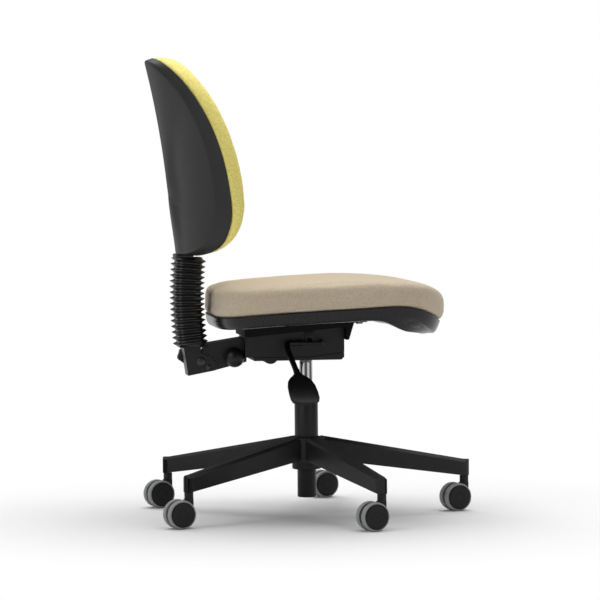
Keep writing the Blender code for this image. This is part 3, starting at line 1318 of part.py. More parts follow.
def make_seat_plate():
    """Cast plate between the mechanism and the seat, with a lug ahead of the housing and a strip in front."""
    lug_rear = HOUSING_FRONT - GAP
    lug_front = lug_rear - PLATE_LUG
    lug_bottom = housing_top(HOUSING_FRONT) - PLATE_LUG_DEPTH
    rest_front = housing_top(HOUSING_FRONT) + GAP
    rest_rear = housing_top(HOUSING_REAR) + GAP
    top = lifted(pan_under, -GAP)
    outline = [(PLATE_FRONT, top(0, PLATE_FRONT)), (PLATE_FRONT, top(0, PLATE_FRONT) - PLATE_STRIP_THICKNESS),
               (lug_front, top(0, lug_front) - PLATE_STRIP_THICKNESS),
               (lug_front + PLATE_LUG_TAPER, lug_bottom), (lug_rear, lug_bottom), (lug_rear, rest_front),
               (HOUSING_REAR, rest_rear),
               (PLATE_REAR, rest_rear + PLATE_TAIL_RISE), (PLATE_REAR, top(0, PLATE_REAR))]
    plate = place("seat_plate", side_slab(outline, -PLATE_HALF_WIDTH, PLATE_HALF_WIDTH), PAINTED_STEEL)
    window = PLATE_HALF_WIDTH - PLATE_RAIL
    cut(plate, block((-window, HOUSING_FRONT + PLATE_RAIL, lug_bottom),
                     (window, HOUSING_REAR - PLATE_RAIL, top(0, HOUSING_FRONT) + OVERCUT)), "window")
    cut(plate, bolt_holes(), "bolt_holes")
    nuts = [moved(rod(NUT_RADIUS + RUNNING_ROOM, -PLATE_HEIGHT - PLATE_LUG_DEPTH, 0.0),
                  Matrix.Translation((x, y, nut_seat(x, y)))) for x, y in bolt_places()]
    cut(plate, merged(nuts), "nut_recesses")


def bolt_plate_outline(grow):
    """Side view of the plate let into the board's upper face, or of its recess where it is grown."""
    front = BOLT_FRONT_Y - BOLT_MARGIN - grow
    rear = BOLT_REAR_Y + BOLT_MARGIN + grow
    sink = BOLT_PLATE_THICKNESS + grow
    top = OVERCUT if grow else -GAP
    return [(front, board_top(0, front) - sink), (rear, board_top(0, rear) - sink),
            (rear, board_top(0, rear) + top), (front, board_top(0, front) + top)]


def make_bolt_plate():
    """Plate in the seat board, with four studs down through the pan and the seat plate, and their nuts."""
    half = BOLT_X + BOLT_MARGIN
    plate = place("bolt_plate", side_slab(bolt_plate_outline(0.0), -half, half), STEEL)
    studs = []
    for x, y in bolt_places():
        nut_top = nut_seat(x, y) - GAP
        nut_bottom = nut_top - NUT_HEIGHT
        stud_top = board_top(x, y) - BOLT_PLATE_THICKNESS / 2
        profile = [(0, stud_top), (BOLT_RADIUS, stud_top), (BOLT_RADIUS, nut_top), (NUT_RADIUS, nut_top),
                   (NUT_RADIUS, nut_bottom), (0, nut_bottom)]
        studs.append(moved(turned(profile, SMALL_FACETS, ring=False), Matrix.Translation((x, y, 0))))
    weld(plate, merged(studs), "studs")


# Back

def back_ring(share, depth, spread=0.0, inset=0.0):
    """Ring of the back's outline at a share of its size, with a depth that depends on the point.

    A spread carries the ring's head and foot out towards the full outline, and an inset draws it in.
    """
    half_width = BACK_HALF_WIDTH - inset
    above = BACK_TOP - BACK_WAIST - inset
    below = BACK_WAIST_RISE - inset
    ring = []
    for i in range(PAD_FACETS):
        turn = math.tau * (i + 0.5) / PAD_FACETS
        upper = math.sin(turn) > 0
        power = 2 / (BACK_TOP_ROUNDNESS if upper else BACK_BOTTOM_ROUNDNESS)
        reach = share + (1 - share) * spread * math.sin(turn) ** 4
        x = half_width * signed_power(math.cos(turn), power) * reach
        z = BACK_WAIST + (above if upper else below) * signed_power(math.sin(turn), power) * reach
        ring.append((x, depth(x, z), z))
    return ring


def back_rings(shares, depth):
    return [back_ring(share, depth) if share else [(0, depth(0, BACK_WAIST), BACK_WAIST)] for share in shares]


def shell_rear(x, z):
    """Rear face of the shell, wrapped round the sitter, with a soft spine and a hollow above the waist."""
    bulge = SPINE_BULGE * (1 - math.exp(-(x / SPINE_BULGE_WIDTH) ** 2))
    flare = SHELL_FLARE * (z - BACK_BOTTOM - SHELL_FLARE_RISE) ** 2 - SHELL_DIP
    return spine(z) + flare - bulge - WRAP_DEPTH * (abs(x) / WRAP_HALF_WIDTH) ** WRAP_POWER


def back_seam(x, z):
    """Line where the shell meets the pad, which comes forward at the foot of the back."""
    foot = SEAM_FOOT * smoothstep((BACK_BOTTOM + SEAM_FOOT_HEIGHT - z) / SEAM_FOOT_HEIGHT)
    return spine(z) - SEAM_DEPTH - foot - SEAM_WRAP * (abs(x) / BACK_HALF_WIDTH) ** WRAP_POWER


def back_front(x, z):
    """Front face of the back pad, fullest at the sitter's waist."""
    rise = z - BACK_BOTTOM - BULGE_RISE
    fall = (BULGE_FALL_UP if rise > 0 else BULGE_FALL_DOWN) * rise ** 2
    return spine(z) - BACK_PAD_DEPTH + fall - BACK_PAD_WRAP * (x / BACK_HALF_WIDTH) ** 2


def ahead(depth, distance):
    """A depth moved forward by a distance."""
    return lambda x, z: depth(x, z) - distance


def between(first, second, share):
    return lambda x, z: first(x, z) + (second(x, z) - first(x, z)) * share


def make_back_shell():
    inner_face = ahead(shell_rear, SHELL_WALL)
    outside = back_rings(SHELL_SHARES, shell_rear) + [
        back_ring(SHELL_RIDGE, shell_rear, SHELL_SPREAD),
        back_ring(SHELL_EDGE, between(shell_rear, back_seam, SHELL_EDGE_WRAP), SHELL_SPREAD),
        back_ring(1.0, back_seam)]
    inner_edge = between(inner_face, back_seam, SHELL_EDGE_WRAP)
    inside = [back_ring(1.0, back_seam, inset=SHELL_RIM),
              back_ring(SHELL_EDGE, inner_edge, SHELL_SPREAD / 2, SHELL_WALL),
              back_ring(SHELL_RIDGE, inner_face, SHELL_SPREAD / 2, SHELL_WALL)]
    inside += back_rings(SHELL_SHARES[::-1], inner_face)
    shell = place("back_shell", lofted(outside + inside), SHELL_PLASTIC)
    middle = board_rear(0, BACK_BOTTOM) + BAR_THICKNESS / 2
    notch_half = BAR_HALF_WIDTH + NOTCH_ROOM
    cut(shell, block((-notch_half, middle - NOTCH_AHEAD, BACK_BOTTOM - 2 * OVERCUT),
                     (notch_half, middle + NOTCH_BEHIND, BACK_BOTTOM + NOTCH_HEIGHT)), "bar_notch")


def make_back_board():
    front = ahead(board_rear, BACK_BOARD_THICKNESS)
    rings = back_rings(BOARD_SHARES, board_rear) + back_rings(BOARD_SHARES[::-1], front)
    board = place("back_board", lofted(rings), PLYWOOD)
    holes = [moved(rod(STUD_RADIUS + GAP, -BACK_BOARD_THICKNESS, BACK_BOARD_THICKNESS - STUD_SHORT + GAP),
                   stud_frame(x, z)) for x, z in stud_places()]
    cut(board, merged(holes), "stud_holes")


def make_back_cushion():
    seam = ahead(back_seam, SOFT_GAP)
    rear = back_rings(BOARD_SHARES, ahead(board_rear, BACK_BOARD_THICKNESS + SOFT_GAP))
    wrap = back_rings(BACK_SEAM_SHARES, seam)
    side = [back_ring(share, between(seam, back_front, rise)) for share, rise in BACK_SIDE]
    front = back_rings(BACK_FRONT_SHARES, back_front)
    place("back_cushion", lofted(rear + wrap + side + front), YELLOW_CLOTH)


make_column()
make_base()
for index, arm_angle in enumerate(arm_angles()):
    make_castor(index + 1, arm_angle)
make_housing()
make_cover()
make_height_lever()
make_tension_knob()
make_hinge_pin()
make_bracket()
make_recline_spring()
make_clamp_knob()
make_upright_bar()
make_bar_clamp()
make_bellows()
make_seat_plate()
make_bolt_plate()
make_seat_pan()
make_seat_board()
make_seat_cushion()
make_back_shell()
make_back_board()
make_back_cushion()
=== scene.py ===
"""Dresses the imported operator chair: pads, shells, bellows, castors, metalwork and finishes."""

from math import acos, atan2, copysign, cos, degrees, exp, hypot, pi, radians, sin, tau

import bmesh
import bpy
from bmesh.types import BMEdge, BMFace, BMVert
from mathutils import Matrix, Quaternion, Vector


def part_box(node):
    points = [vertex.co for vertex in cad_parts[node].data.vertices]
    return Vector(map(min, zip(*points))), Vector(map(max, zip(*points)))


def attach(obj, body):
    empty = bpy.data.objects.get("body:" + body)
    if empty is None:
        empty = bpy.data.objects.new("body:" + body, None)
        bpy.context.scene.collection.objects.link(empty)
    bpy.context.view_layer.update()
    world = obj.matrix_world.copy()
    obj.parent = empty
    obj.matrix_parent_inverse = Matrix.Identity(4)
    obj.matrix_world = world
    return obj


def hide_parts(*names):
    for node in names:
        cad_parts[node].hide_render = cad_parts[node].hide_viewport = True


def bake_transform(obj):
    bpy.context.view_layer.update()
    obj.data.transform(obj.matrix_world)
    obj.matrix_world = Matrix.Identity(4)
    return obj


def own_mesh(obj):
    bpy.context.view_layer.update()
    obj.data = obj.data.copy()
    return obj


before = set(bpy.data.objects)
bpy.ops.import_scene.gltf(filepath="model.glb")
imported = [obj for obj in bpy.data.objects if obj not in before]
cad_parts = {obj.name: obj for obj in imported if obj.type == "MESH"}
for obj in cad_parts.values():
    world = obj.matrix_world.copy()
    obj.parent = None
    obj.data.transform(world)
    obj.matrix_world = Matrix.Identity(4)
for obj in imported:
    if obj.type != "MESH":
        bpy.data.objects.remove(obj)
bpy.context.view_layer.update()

MM = 0.001
SEAT_BODY = "seat"
BACK_BODY = "backrest"
ARM_BODY = "back_arm"


# Finishes

TINT_CLOUD = 70 * MM
DYE_CLOUD = 45 * MM
GRAIN_SPACING = 22 * MM
PEBBLE_DEPTH = 0.35 * MM


def linear(hex_colour):
    """Turn an sRGB hex colour into linear RGBA."""
    channels = [int(hex_colour[i:i + 2], 16) / 255 for i in (1, 3, 5)]
    return [c / 12.92 if c <= 0.04045 else ((c + 0.055) / 1.055) ** 2.4 for c in channels] + [1.0]


def feed(tree, node, links):
    """Give a node's sockets a value, or the socket that feeds them."""
    for socket, value in links.items():
        if isinstance(value, bpy.types.NodeSocket):
            tree.links.new(value, node.inputs[socket])
        else:
            node.inputs[socket].default_value = value


def add(tree, kind, links=None, **settings):
    """Add a shader node, set its properties and feed its sockets."""
    made = tree.nodes.new("ShaderNode" + kind)
    for name, value in settings.items():
        setattr(made, name, value)
    feed(tree, made, links or {})
    return made


def own_place(tree):
    """A point's place in its piece's own frame."""
    return add(tree, "TexCoord").outputs["Object"]


def noise(tree, place, size, detail):
    return add(tree, "TexNoise", {"Vector": place, "Scale": 1 / size, "Detail": detail}).outputs["Fac"]


def ranged(tree, value, low, high, start=0.3, end=0.7, **settings):
    """Stretch the part of a value between start and end to run from low to high."""
    links = {"Value": value, "From Min": start, "From Max": end, "To Min": low, "To Max": high}
    return add(tree, "MapRange", links, **settings).outputs["Result"]


def mixed(tree, share, first, second):
    """Mix two colours."""
    return add(tree, "Mix", {0: share, 6: first, 7: second}, data_type="RGBA").outputs[2]


def bumped(tree, height, strength, depth, **settings):
    links = {"Height": height, "Strength": strength, "Distance": depth}
    return add(tree, "Bump", links, **settings).outputs["Normal"]


def calculated(tree, operation, *values):
    return add(tree, "Math", dict(enumerate(values)), operation=operation).outputs["Value"]


def new_finish(name, **constants):
    """A material with its constant values set on the shader's own sockets."""
    material = bpy.data.materials.new(name)
    material.use_nodes = True
    shader = material.node_tree.nodes["Principled BSDF"]
    for socket, value in constants.items():
        shader.inputs[socket.replace("_", " ")].default_value = value
    return material, material.node_tree, shader


def moulded(name, dark, light, rough_low, rough_high, grit, depth, ior=1.5, specular=0.28):
    """Moulded plastic: grit is the size of its eroded texture, drawn a little coarse so that it shows.

    The pits of such a texture hide part of the reflection, so its specular level is low.
    Sizes are in millimetres.
    """
    material, tree, shader = new_finish(name, IOR=ior, Specular_IOR_Level=specular)
    place = own_place(tree)
    cloud = noise(tree, place, TINT_CLOUD, 3.0)
    speck = noise(tree, place, grit * MM, 2.0)
    feed(tree, shader, {"Base Color": mixed(tree, cloud, linear(dark), linear(light)),
                        "Roughness": ranged(tree, speck, rough_low, rough_high),
                        "Normal": bumped(tree, speck, 0.5, depth * MM)})
    return material


def metal(name, colour, rough_low, rough_high, streak, stretch):
    """Bare or plated metal: fine streaks, stretched along one axis, change its roughness."""
    material, tree, shader = new_finish(name, Metallic=1.0, Base_Color=linear(colour))
    drawn = add(tree, "Mapping", {"Vector": own_place(tree), "Scale": stretch}).outputs["Vector"]
    lines = noise(tree, drawn, streak * MM, 3.0)
    feed(tree, shader, {"Roughness": ranged(tree, lines, rough_low, rough_high)})
    return material


def crepe(name, deep, middle, pale, fleck, yarn):
    """Wool crepe: flecks of three shades of one dye over a pebbly weave, drawn coarse enough to show."""
    material, tree, shader = new_finish(name, Roughness=0.92, Sheen_Weight=0.18, Sheen_Roughness=0.45,
                                        IOR=1.45)
    place = own_place(tree)
    cells = add(tree, "TexVoronoi", {"Vector": place, "Scale": 1 / (fleck * MM), "Randomness": 1.0})
    shade = add(tree, "SeparateColor", {"Color": cells.outputs["Color"]})
    ramp = add(tree, "ValToRGB", {"Fac": shade.outputs["Red"]})
    stops = ramp.color_ramp.elements
    stops[0].color = linear(deep)
    stops[1].color = linear(pale)
    stops.new(0.45).color = linear(middle)
    cloud = ranged(tree, noise(tree, place, DYE_CLOUD, 4.0), 0.0, 0.3)
    pebble = add(tree, "TexVoronoi", {"Vector": place, "Scale": 1 / (yarn * MM)}).outputs["Distance"]
    feed(tree, shader, {"Base Color": mixed(tree, cloud, ramp.outputs["Color"], linear(middle)),
                        "Normal": bumped(tree, pebble, 0.45, PEBBLE_DEPTH, invert=True)})
    return material


def veneer(name, sapwood, grain):
    """Rotary-cut birch plywood: wandering grain lines a few millimetres apart."""
    material, tree, shader = new_finish(name, Roughness=0.6)
    links = {"Vector": own_place(tree), "Scale": 1 / GRAIN_SPACING, "Distortion": 5.0, "Detail": 3.0}
    rings = add(tree, "TexWave", links, bands_direction="X").outputs["Fac"]
    feed(tree, shader, {"Base Color": mixed(tree, rings, linear(sapwood), linear(grain))})
    return material


# Glass-filled nylon, moulded in a textured tool: near black with a dull, slightly grainy gloss.
NYLON = moulded("glass_filled_nylon", "#1B1B1B", "#232323", 0.42, 0.56, 1.6, 0.12, 1.53)
# Polypropylene, moulded with a fine leather grain: charcoal with a soft, wide highlight.
POLYPROPYLENE = moulded("grained_polypropylene", "#262626", "#2C2C2C", 0.40, 0.52, 1.8, 0.10, 1.49)
# Polypropylene, moulded in a smooth tool: black, with the floor mirrored softly in its lower faces.
SMOOTH_POLYPROPYLENE = moulded("smooth_polypropylene", "#161616", "#1C1C1C", 0.22, 0.30, 2.4, 0.04, 1.49)
# Powder coat baked on steel: black, with the slow ripple that the powder leaves as it flows.
POWDER_COAT = moulded("powder_coated_steel", "#1A1A1A", "#222222", 0.36, 0.48, 2.6, 0.10)
# Dip paint on pressed steel: a thin black primer, quite dull.
DIP_PAINT = moulded("dip_painted_steel", "#121212", "#181818", 0.62, 0.75, 2.6, 0.06, specular=0.12)
# Black oxide on turned steel pins: dark grey, with the clear highlight of oiled metal.
BLACK_OXIDE = moulded("black_oxide_steel", "#242424", "#2C2C2C", 0.30, 0.40, 2.0, 0.03, specular=0.5)
# Black ABS, moulded in a smooth tool, with a clean soft highlight. Its base colour is set darker than the
# black nylon's as painted shade, standing in for the shade under the seat, which makes it the deepest
# black on the chair.
SHADE_DARKENED_ABS = moulded("smooth_abs_darkened_for_shade", "#0D0D0D", "#121212", 0.36, 0.46, 2.4, 0.04, 1.53, 0.32)
# Acetal, moulded in a polished tool: black and waxy, with a clearer highlight than nylon.
ACETAL = moulded("moulded_acetal", "#111111", "#171717", 0.30, 0.40, 2.0, 0.05, 1.48)
# Polyurethane tread, cast on the wheel: light grey and matt, with a little grey dust in it.
POLYURETHANE = moulded("cast_polyurethane", "#8E8F90", "#A1A2A3", 0.55, 0.72, 1.8, 0.08)
# Synthetic rubber, moulded in folds: black with a thin shine on the edges of the folds.
EPDM_RUBBER = moulded("moulded_epdm_rubber", "#111111", "#171717", 0.28, 0.38, 2.2, 0.015, 1.52, 0.8)
# Hard chrome on a ground tube: mirror bright, with faint grinding rings round the axis.
CHROME = metal("hard_chromed_steel", "#D6D8DA", 0.05, 0.11, 1.2, (0.1, 0.1, 1.0))
# Zinc plate on machined steel: pale grey, satin, clouded by the plating bath.
ZINC = metal("zinc_plated_steel", "#B2B4B6", 0.24, 0.38, 3.0, (1.0, 1.0, 1.0))
# Birch plywood, bare under the foam: pale wood with a soft figure.
PLYWOOD = veneer("birch_plywood", "#CDB084", "#B8966A")
# Wool crepe in sand: a warm matt cloth with slightly darker and paler flecks.
SAND_CREPE = crepe("sand_wool_crepe", "#BEAE95", "#C8B8A0", "#D0C2AC", 2.0, 1.3)
# Wool crepe in straw yellow: a soft lemon cloth with pale flecks.
STRAW_CREPE = crepe("straw_wool_crepe", "#EAD968", "#F6E57E", "#FBF2A0", 2.4, 1.5)


# Making and placing pieces

SHARP_ANGLE = 40
ROUND_STEPS = 80
FLAT_ANGLE = radians(1)
MERGE_DISTANCE = 0.002 * MM
CAD_MERGE_DISTANCE = 0.01 * MM


def only(kind, items):
    return [item for item in items if isinstance(item, kind)]


def placed(name, data):
    """Link a new object with its data into the scene."""
    made = bpy.data.objects.new(name, data)
    bpy.context.collection.objects.link(made)
    return made


def meshed(name, bm):
    """Turn a bmesh into a mesh and free it."""
    mesh = bpy.data.meshes.new(name)
    bm.to_mesh(mesh)
    bm.free()
    return mesh


def soften(bm, width, segments=2, angle=32):
    """Round every edge that is sharper than an angle in degrees."""
    limit = radians(angle)
    edges = [edge for edge in bm.edges if len(edge.link_faces) == 2 and edge.calc_face_angle() > limit]
    bmesh.ops.bevel(bm, geom=edges, offset=width, offset_type="OFFSET", affect="EDGES", segments=segments,
                    profile=0.5, clamp_overlap=True, material=-1)
    return bm


def outwards(bm):
    """Merge doubles and turn the faces of a closed shape outwards."""
    bmesh.ops.remove_doubles(bm, verts=bm.verts, dist=MERGE_DISTANCE)
    bmesh.ops.recalc_face_normals(bm, faces=bm.faces)
    return bm


def spun(profile, steps):
    """Spin a profile of (radius, height) points about +Z. One that ends off the axis closes on itself."""
    bm = bmesh.new()
    verts = [bm.verts.new((radius, 0.0, height)) for radius, height in profile]
    edges = [bm.edges.new(pair) for pair in zip(verts, verts[1:])]
    if profile[0][0] > 0 and profile[-1][0] > 0:
        edges.append(bm.edges.new((verts[-1], verts[0])))
    bmesh.ops.spin(bm, geom=verts + edges, cent=(0, 0, 0), axis=(0, 0, 1), angle=tau, steps=steps,
                   use_merge=True, use_duplicate=False)
    return outwards(bm)


def extruded(outline, depth):
    """Extrude a flat outline of (x, y) points along +Z."""
    bm = bmesh.new()
    face = bm.faces.new([bm.verts.new((x, y, 0.0)) for x, y in outline])
    grown = bmesh.ops.extrude_face_region(bm, geom=[face])["geom"]
    bmesh.ops.translate(bm, vec=(0, 0, depth), verts=only(BMVert, grown))
    return outwards(bm)


def drawn_out(rings, looped=False):
    """Draw a circle out through a row of rings, edge by edge. A ring whose points agree is a pole."""
    bm = bmesh.new()
    front = list(bmesh.ops.create_circle(bm, segments=len(rings[0]), radius=1.0)["verts"])
    for vert, point in zip(front, rings[0]):
        vert.co = point
    edges = bm.edges[:]
    for ring in rings[1:] + ([rings[0]] if looped else []):
        grown = bmesh.ops.extrude_edge_only(bm, edges=edges)["geom"]
        fresh = set(only(BMVert, grown))
        onward = {}
        for vert in fresh:
            for edge in vert.link_edges:
                onward.setdefault(edge.other_vert(vert), vert)
        front = [onward[vert] for vert in front]
        for vert, point in zip(front, ring):
            vert.co = point
        edges = [edge for edge in only(BMEdge, grown) if set(edge.verts) <= fresh]
    return outwards(bm)


def joined(shapes):
    """Put several shapes into one bmesh."""
    whole = bmesh.new()
    for shape in shapes:
        part = meshed("part", shape)
        whole.from_mesh(part)
        bpy.data.meshes.remove(part)
    return whole


def moved(bm, matrix):
    bmesh.ops.transform(bm, matrix=matrix, verts=bm.verts)
    return bm


def across(x, y, z, outward=1):
    """Frame whose +Z runs along +X, or along -X where outward is -1, at a point."""
    return Matrix.Translation((x, y, z)) @ Matrix.Rotation(outward * pi / 2, 4, "Y")


def side_view(low):
    """Frame that turns an (x, y) outline into a (y, z) side view, extruded along +X from an x."""
    return Matrix(((0, 0, 1, low), (1, 0, 0, 0), (0, 1, 0, 0), (0, 0, 0, 1)))


def arc(centre, radius, start, end, steps):
    """Points on a circle from one angle to another, in degrees."""
    angles = [radians(start + (end - start) * i / steps) for i in range(steps + 1)]
    return [(centre[0] + radius * cos(a), centre[1] + radius * sin(a)) for a in angles]


def smoothstep(value):
    t = min(max(value, 0.0), 1.0)
    return t * t * (3 - 2 * t)


def signed_power(value, power):
    return copysign(abs(value) ** power, value)


def wire(points, radius, sides=16, rounded=False):
    """A round bar along a path, made as a curve and kept as a mesh."""
    curve = bpy.data.curves.new("wire", "CURVE")
    curve.dimensions = "3D"
    curve.bevel_depth = radius
    curve.bevel_resolution = sides // 4
    curve.use_fill_caps = True
    spline = curve.splines.new("NURBS" if rounded else "POLY")
    spline.points.add(len(points) - 1)
    for point, place in zip(spline.points, points):
        point.co = (*place, 1.0)
    if rounded:
        spline.use_endpoint_u = True
        spline.order_u = 3
        spline.resolution_u = 12
    holder = placed("wire", curve)
    depsgraph = bpy.context.evaluated_depsgraph_get()
    mesh = bpy.data.meshes.new_from_object(holder.evaluated_get(depsgraph))
    bm = bmesh.new()
    bm.from_mesh(mesh)
    bpy.data.objects.remove(holder)
    bpy.data.curves.remove(curve)
    bpy.data.meshes.remove(mesh)
    return outwards(bm)


def piece(name, bm, finish, body, slot, stands_for=(), sharp=SHARP_ANGLE, flat=False):
    """Make a finished piece that rides on a body, in place of the nodes it stands for. Its slot is not
    used.
    """
    mesh = meshed(name, bm)
    mesh.materials.append(finish)
    mesh.shade_smooth()
    mesh.set_sharp_from_angle(angle=radians(sharp))
    made = placed(name, mesh)
    if flat:
        level = made.modifiers.new("level_faces", "WEIGHTED_NORMAL")
        level.keep_sharp = True
    if body:
        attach(made, body)
    if stands_for:
        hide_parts(*stands_for)
    return made


def settle(made):
    """Apply a piece's modifiers to its mesh."""
    depsgraph = bpy.context.evaluated_depsgraph_get()
    mesh = bpy.data.meshes.new_from_object(made.evaluated_get(depsgraph), depsgraph=depsgraph)
    old = made.data
    made.modifiers.clear()
    made.data = mesh
    bpy.data.meshes.remove(old)


def carve(made, bm):
    """Cut a shape out of a piece."""
    mesh = meshed("cutter", bm)
    tool = placed("cutter", mesh)
    trim = made.modifiers.new("trim", "BOOLEAN")
    trim.operation = "DIFFERENCE"
    trim.solver = "EXACT"
    trim.object = tool
    settle(made)
    bpy.data.objects.remove(tool)
    bpy.data.meshes.remove(mesh)
    made.data.set_sharp_from_angle(angle=radians(SHARP_ANGLE))


def brick(low, high):
    bm = bmesh.new()
    size = Vector(high) - Vector(low)
    middle = (Vector(high) + Vector(low)) / 2
    bmesh.ops.create_cube(bm, size=1.0, matrix=Matrix.Translation(middle) @ Matrix.Diagonal((*size, 1.0)))
    return bm


def refined(node, width):
    """A merged copy of a CAD node's mesh, with its flat faces made whole and its edges rounded."""
    bm = bmesh.new()
    bm.from_mesh(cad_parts[node].data)
    bmesh.ops.remove_doubles(bm, verts=bm.verts, dist=CAD_MERGE_DISTANCE)
    bmesh.ops.dissolve_limit(bm, angle_limit=FLAT_ANGLE, verts=bm.verts, edges=bm.edges)
    return soften(bm, width)


# Sizes shared with the solids, in metres
NECK_BOTTOM = 0.060
NECK_TOP = 0.0747
ARM_TIP_BOTTOM = 0.075
ARM_TIP_TOP = 0.110
HUB_BOTTOM = 0.1125
HUB_TOP = 0.165
HUB_RADIUS = 0.043
COLLAR_BOTTOM = 0.0975
COLLAR_RADIUS = 0.031
TUBE_RADIUS = 0.025
TUBE_BORE = 0.0225
TUBE_TOP = 0.255
FOOT_RADIUS = 0.020
FOOT_BOTTOM = 0.037
CYLINDER_RADIUS = 0.014
CYLINDER_TOP = 0.372
STEM_CIRCLE = 0.3423
ARM_COUNT = 5
CASTOR_YAW = radians(16.6)
CASTOR_TRAIL = 0.0212
TYRE_RADIUS = 0.030
CASTOR_HALF_WIDTH = 0.022
ELBOW = Vector((0, 0.2278, 0.3321))


# Base star

ARM_ROOT_WIDTH = 0.040
ARM_TIP_WIDTH = 0.022
ARM_ROOT_BOTTOM = 0.117
ARM_CHAMFER = 0.006
ARM_WALL = 0.004
ARM_CHANNEL_DEPTH = 0.022
HUB_FLATS = 10
RIB_PLACES = (0.12, 0.19, 0.26)
RIB_THICKNESS = 0.003
TIP_ANGLES = (25, 45, 62, 76, 86)


def arm_section(distance, width, top, bottom):
    """Six corners of an arm's cross-section, at a distance along -Y."""
    half = width / 2
    chamfer = min(ARM_CHAMFER, 0.8 * half)
    return [Vector((half, -distance, bottom)), Vector((half, -distance, top - chamfer)),
            Vector((half - chamfer, -distance, top)), Vector((chamfer - half, -distance, top)),
            Vector((-half, -distance, top - chamfer)), Vector((-half, -distance, bottom))]


def arm_at(distance):
    share = (distance - HUB_RADIUS) / (STEM_CIRCLE - HUB_RADIUS)
    return arm_section(distance, ARM_ROOT_WIDTH + (ARM_TIP_WIDTH - ARM_ROOT_WIDTH) * share,
                       HUB_TOP + (ARM_TIP_TOP - HUB_TOP) * share,
                       ARM_ROOT_BOTTOM + (ARM_TIP_BOTTOM - ARM_ROOT_BOTTOM) * share)


def star_arm():
    """One arm along -Y: a tapered beam with a rounded tip and a channel underneath."""
    tip = ARM_TIP_WIDTH / 2
    stations = [arm_at(STEM_CIRCLE - tip), arm_at(STEM_CIRCLE)]
    for angle in TIP_ANGLES:
        turn = radians(angle)
        stations.append(arm_section(STEM_CIRCLE + tip * sin(turn), ARM_TIP_WIDTH * cos(turn),
                                    ARM_TIP_TOP, ARM_TIP_BOTTOM))
    bm = bmesh.new()
    front = [bm.verts.new(corner) for corner in arm_at(TUBE_RADIUS + 0.008)]
    face = bm.faces.new(front)
    under = None
    for station in stations:
        grown = bmesh.ops.extrude_face_region(bm, geom=[face])["geom"]
        face = only(BMFace, grown)[0]
        fresh = set(only(BMVert, grown))
        front = [next(edge.other_vert(vert) for edge in vert.link_edges if edge.other_vert(vert) in fresh)
                 for vert in front]
        for vert, corner in zip(front, station):
            vert.co = corner
        if under is None:
            foot = {front[0], front[5]}
            under = next(item for item in bm.faces if foot <= set(item.verts) and item is not face)
    bmesh.ops.inset_individual(bm, faces=[under], thickness=ARM_WALL, use_even_offset=True)
    floor = bmesh.ops.extrude_discrete_faces(bm, faces=[under])["faces"]
    bmesh.ops.translate(bm, vec=(0, 0, ARM_CHANNEL_DEPTH), verts=floor[0].verts)
    outwards(bm)
    return soften(bm, 0.0011, 2, 28)


def star_ribs():
    """Cross ribs in one arm's channel."""
    ribs = []
    for distance in RIB_PLACES:
        corners = arm_at(distance)
        half = corners[0].x - ARM_WALL / 2
        bottom = corners[0].z + 0.002
        ribs.append(brick((-half, -distance - RIB_THICKNESS / 2, bottom),
                          (half, -distance + RIB_THICKNESS / 2, bottom + ARM_CHANNEL_DEPTH)))
    return ribs


def flatted_hub():
    """Hub with ten upright flats between and behind the arms, over a round collar."""
    hub = spun([(HUB_RADIUS, HUB_TOP), (HUB_RADIUS, HUB_BOTTOM), (COLLAR_RADIUS, HUB_BOTTOM),
                (COLLAR_RADIUS, COLLAR_BOTTOM), (TUBE_RADIUS, COLLAR_BOTTOM),
                (TUBE_RADIUS, HUB_TOP)], ROUND_STEPS)
    flat = tau / HUB_FLATS
    for vert in hub.verts:
        radius = hypot(vert.co.x, vert.co.y)
        if radius > (HUB_RADIUS + COLLAR_RADIUS) / 2:
            off_middle = atan2(vert.co.y, vert.co.x) % flat - flat / 2
            grow = cos(flat / 2) / cos(off_middle) * HUB_RADIUS / radius
            vert.co.x *= grow
            vert.co.y *= grow
    bmesh.ops.dissolve_limit(hub, angle_limit=FLAT_ANGLE, verts=hub.verts, edges=hub.edges)
    return soften(hub, 0.0014, 2)


def make_base():
    shapes = [flatted_hub()]
    for i in range(ARM_COUNT):
        turn = Matrix.Rotation(tau * i / ARM_COUNT, 4, "Z")
        shapes += [moved(shape, turn) for shape in [star_arm()] + star_ribs()]
    piece("star_base", joined(shapes), NYLON, "base", "black_nylon", ["base_star"], flat=True)


# Column

FOOT_BORE = 0.0175
ROD_HOLE = 0.0053
BUSH_RADIUS = 0.0222
BUSH_BORE = 0.0143
BUSH_LENGTH = 0.060
BUSH_RIM = 0.0043
CYLINDER_BORE = 0.012
VALVE_HOLE = 0.0043
VALVE_DEPTH = 0.020
FIT = 0.0003


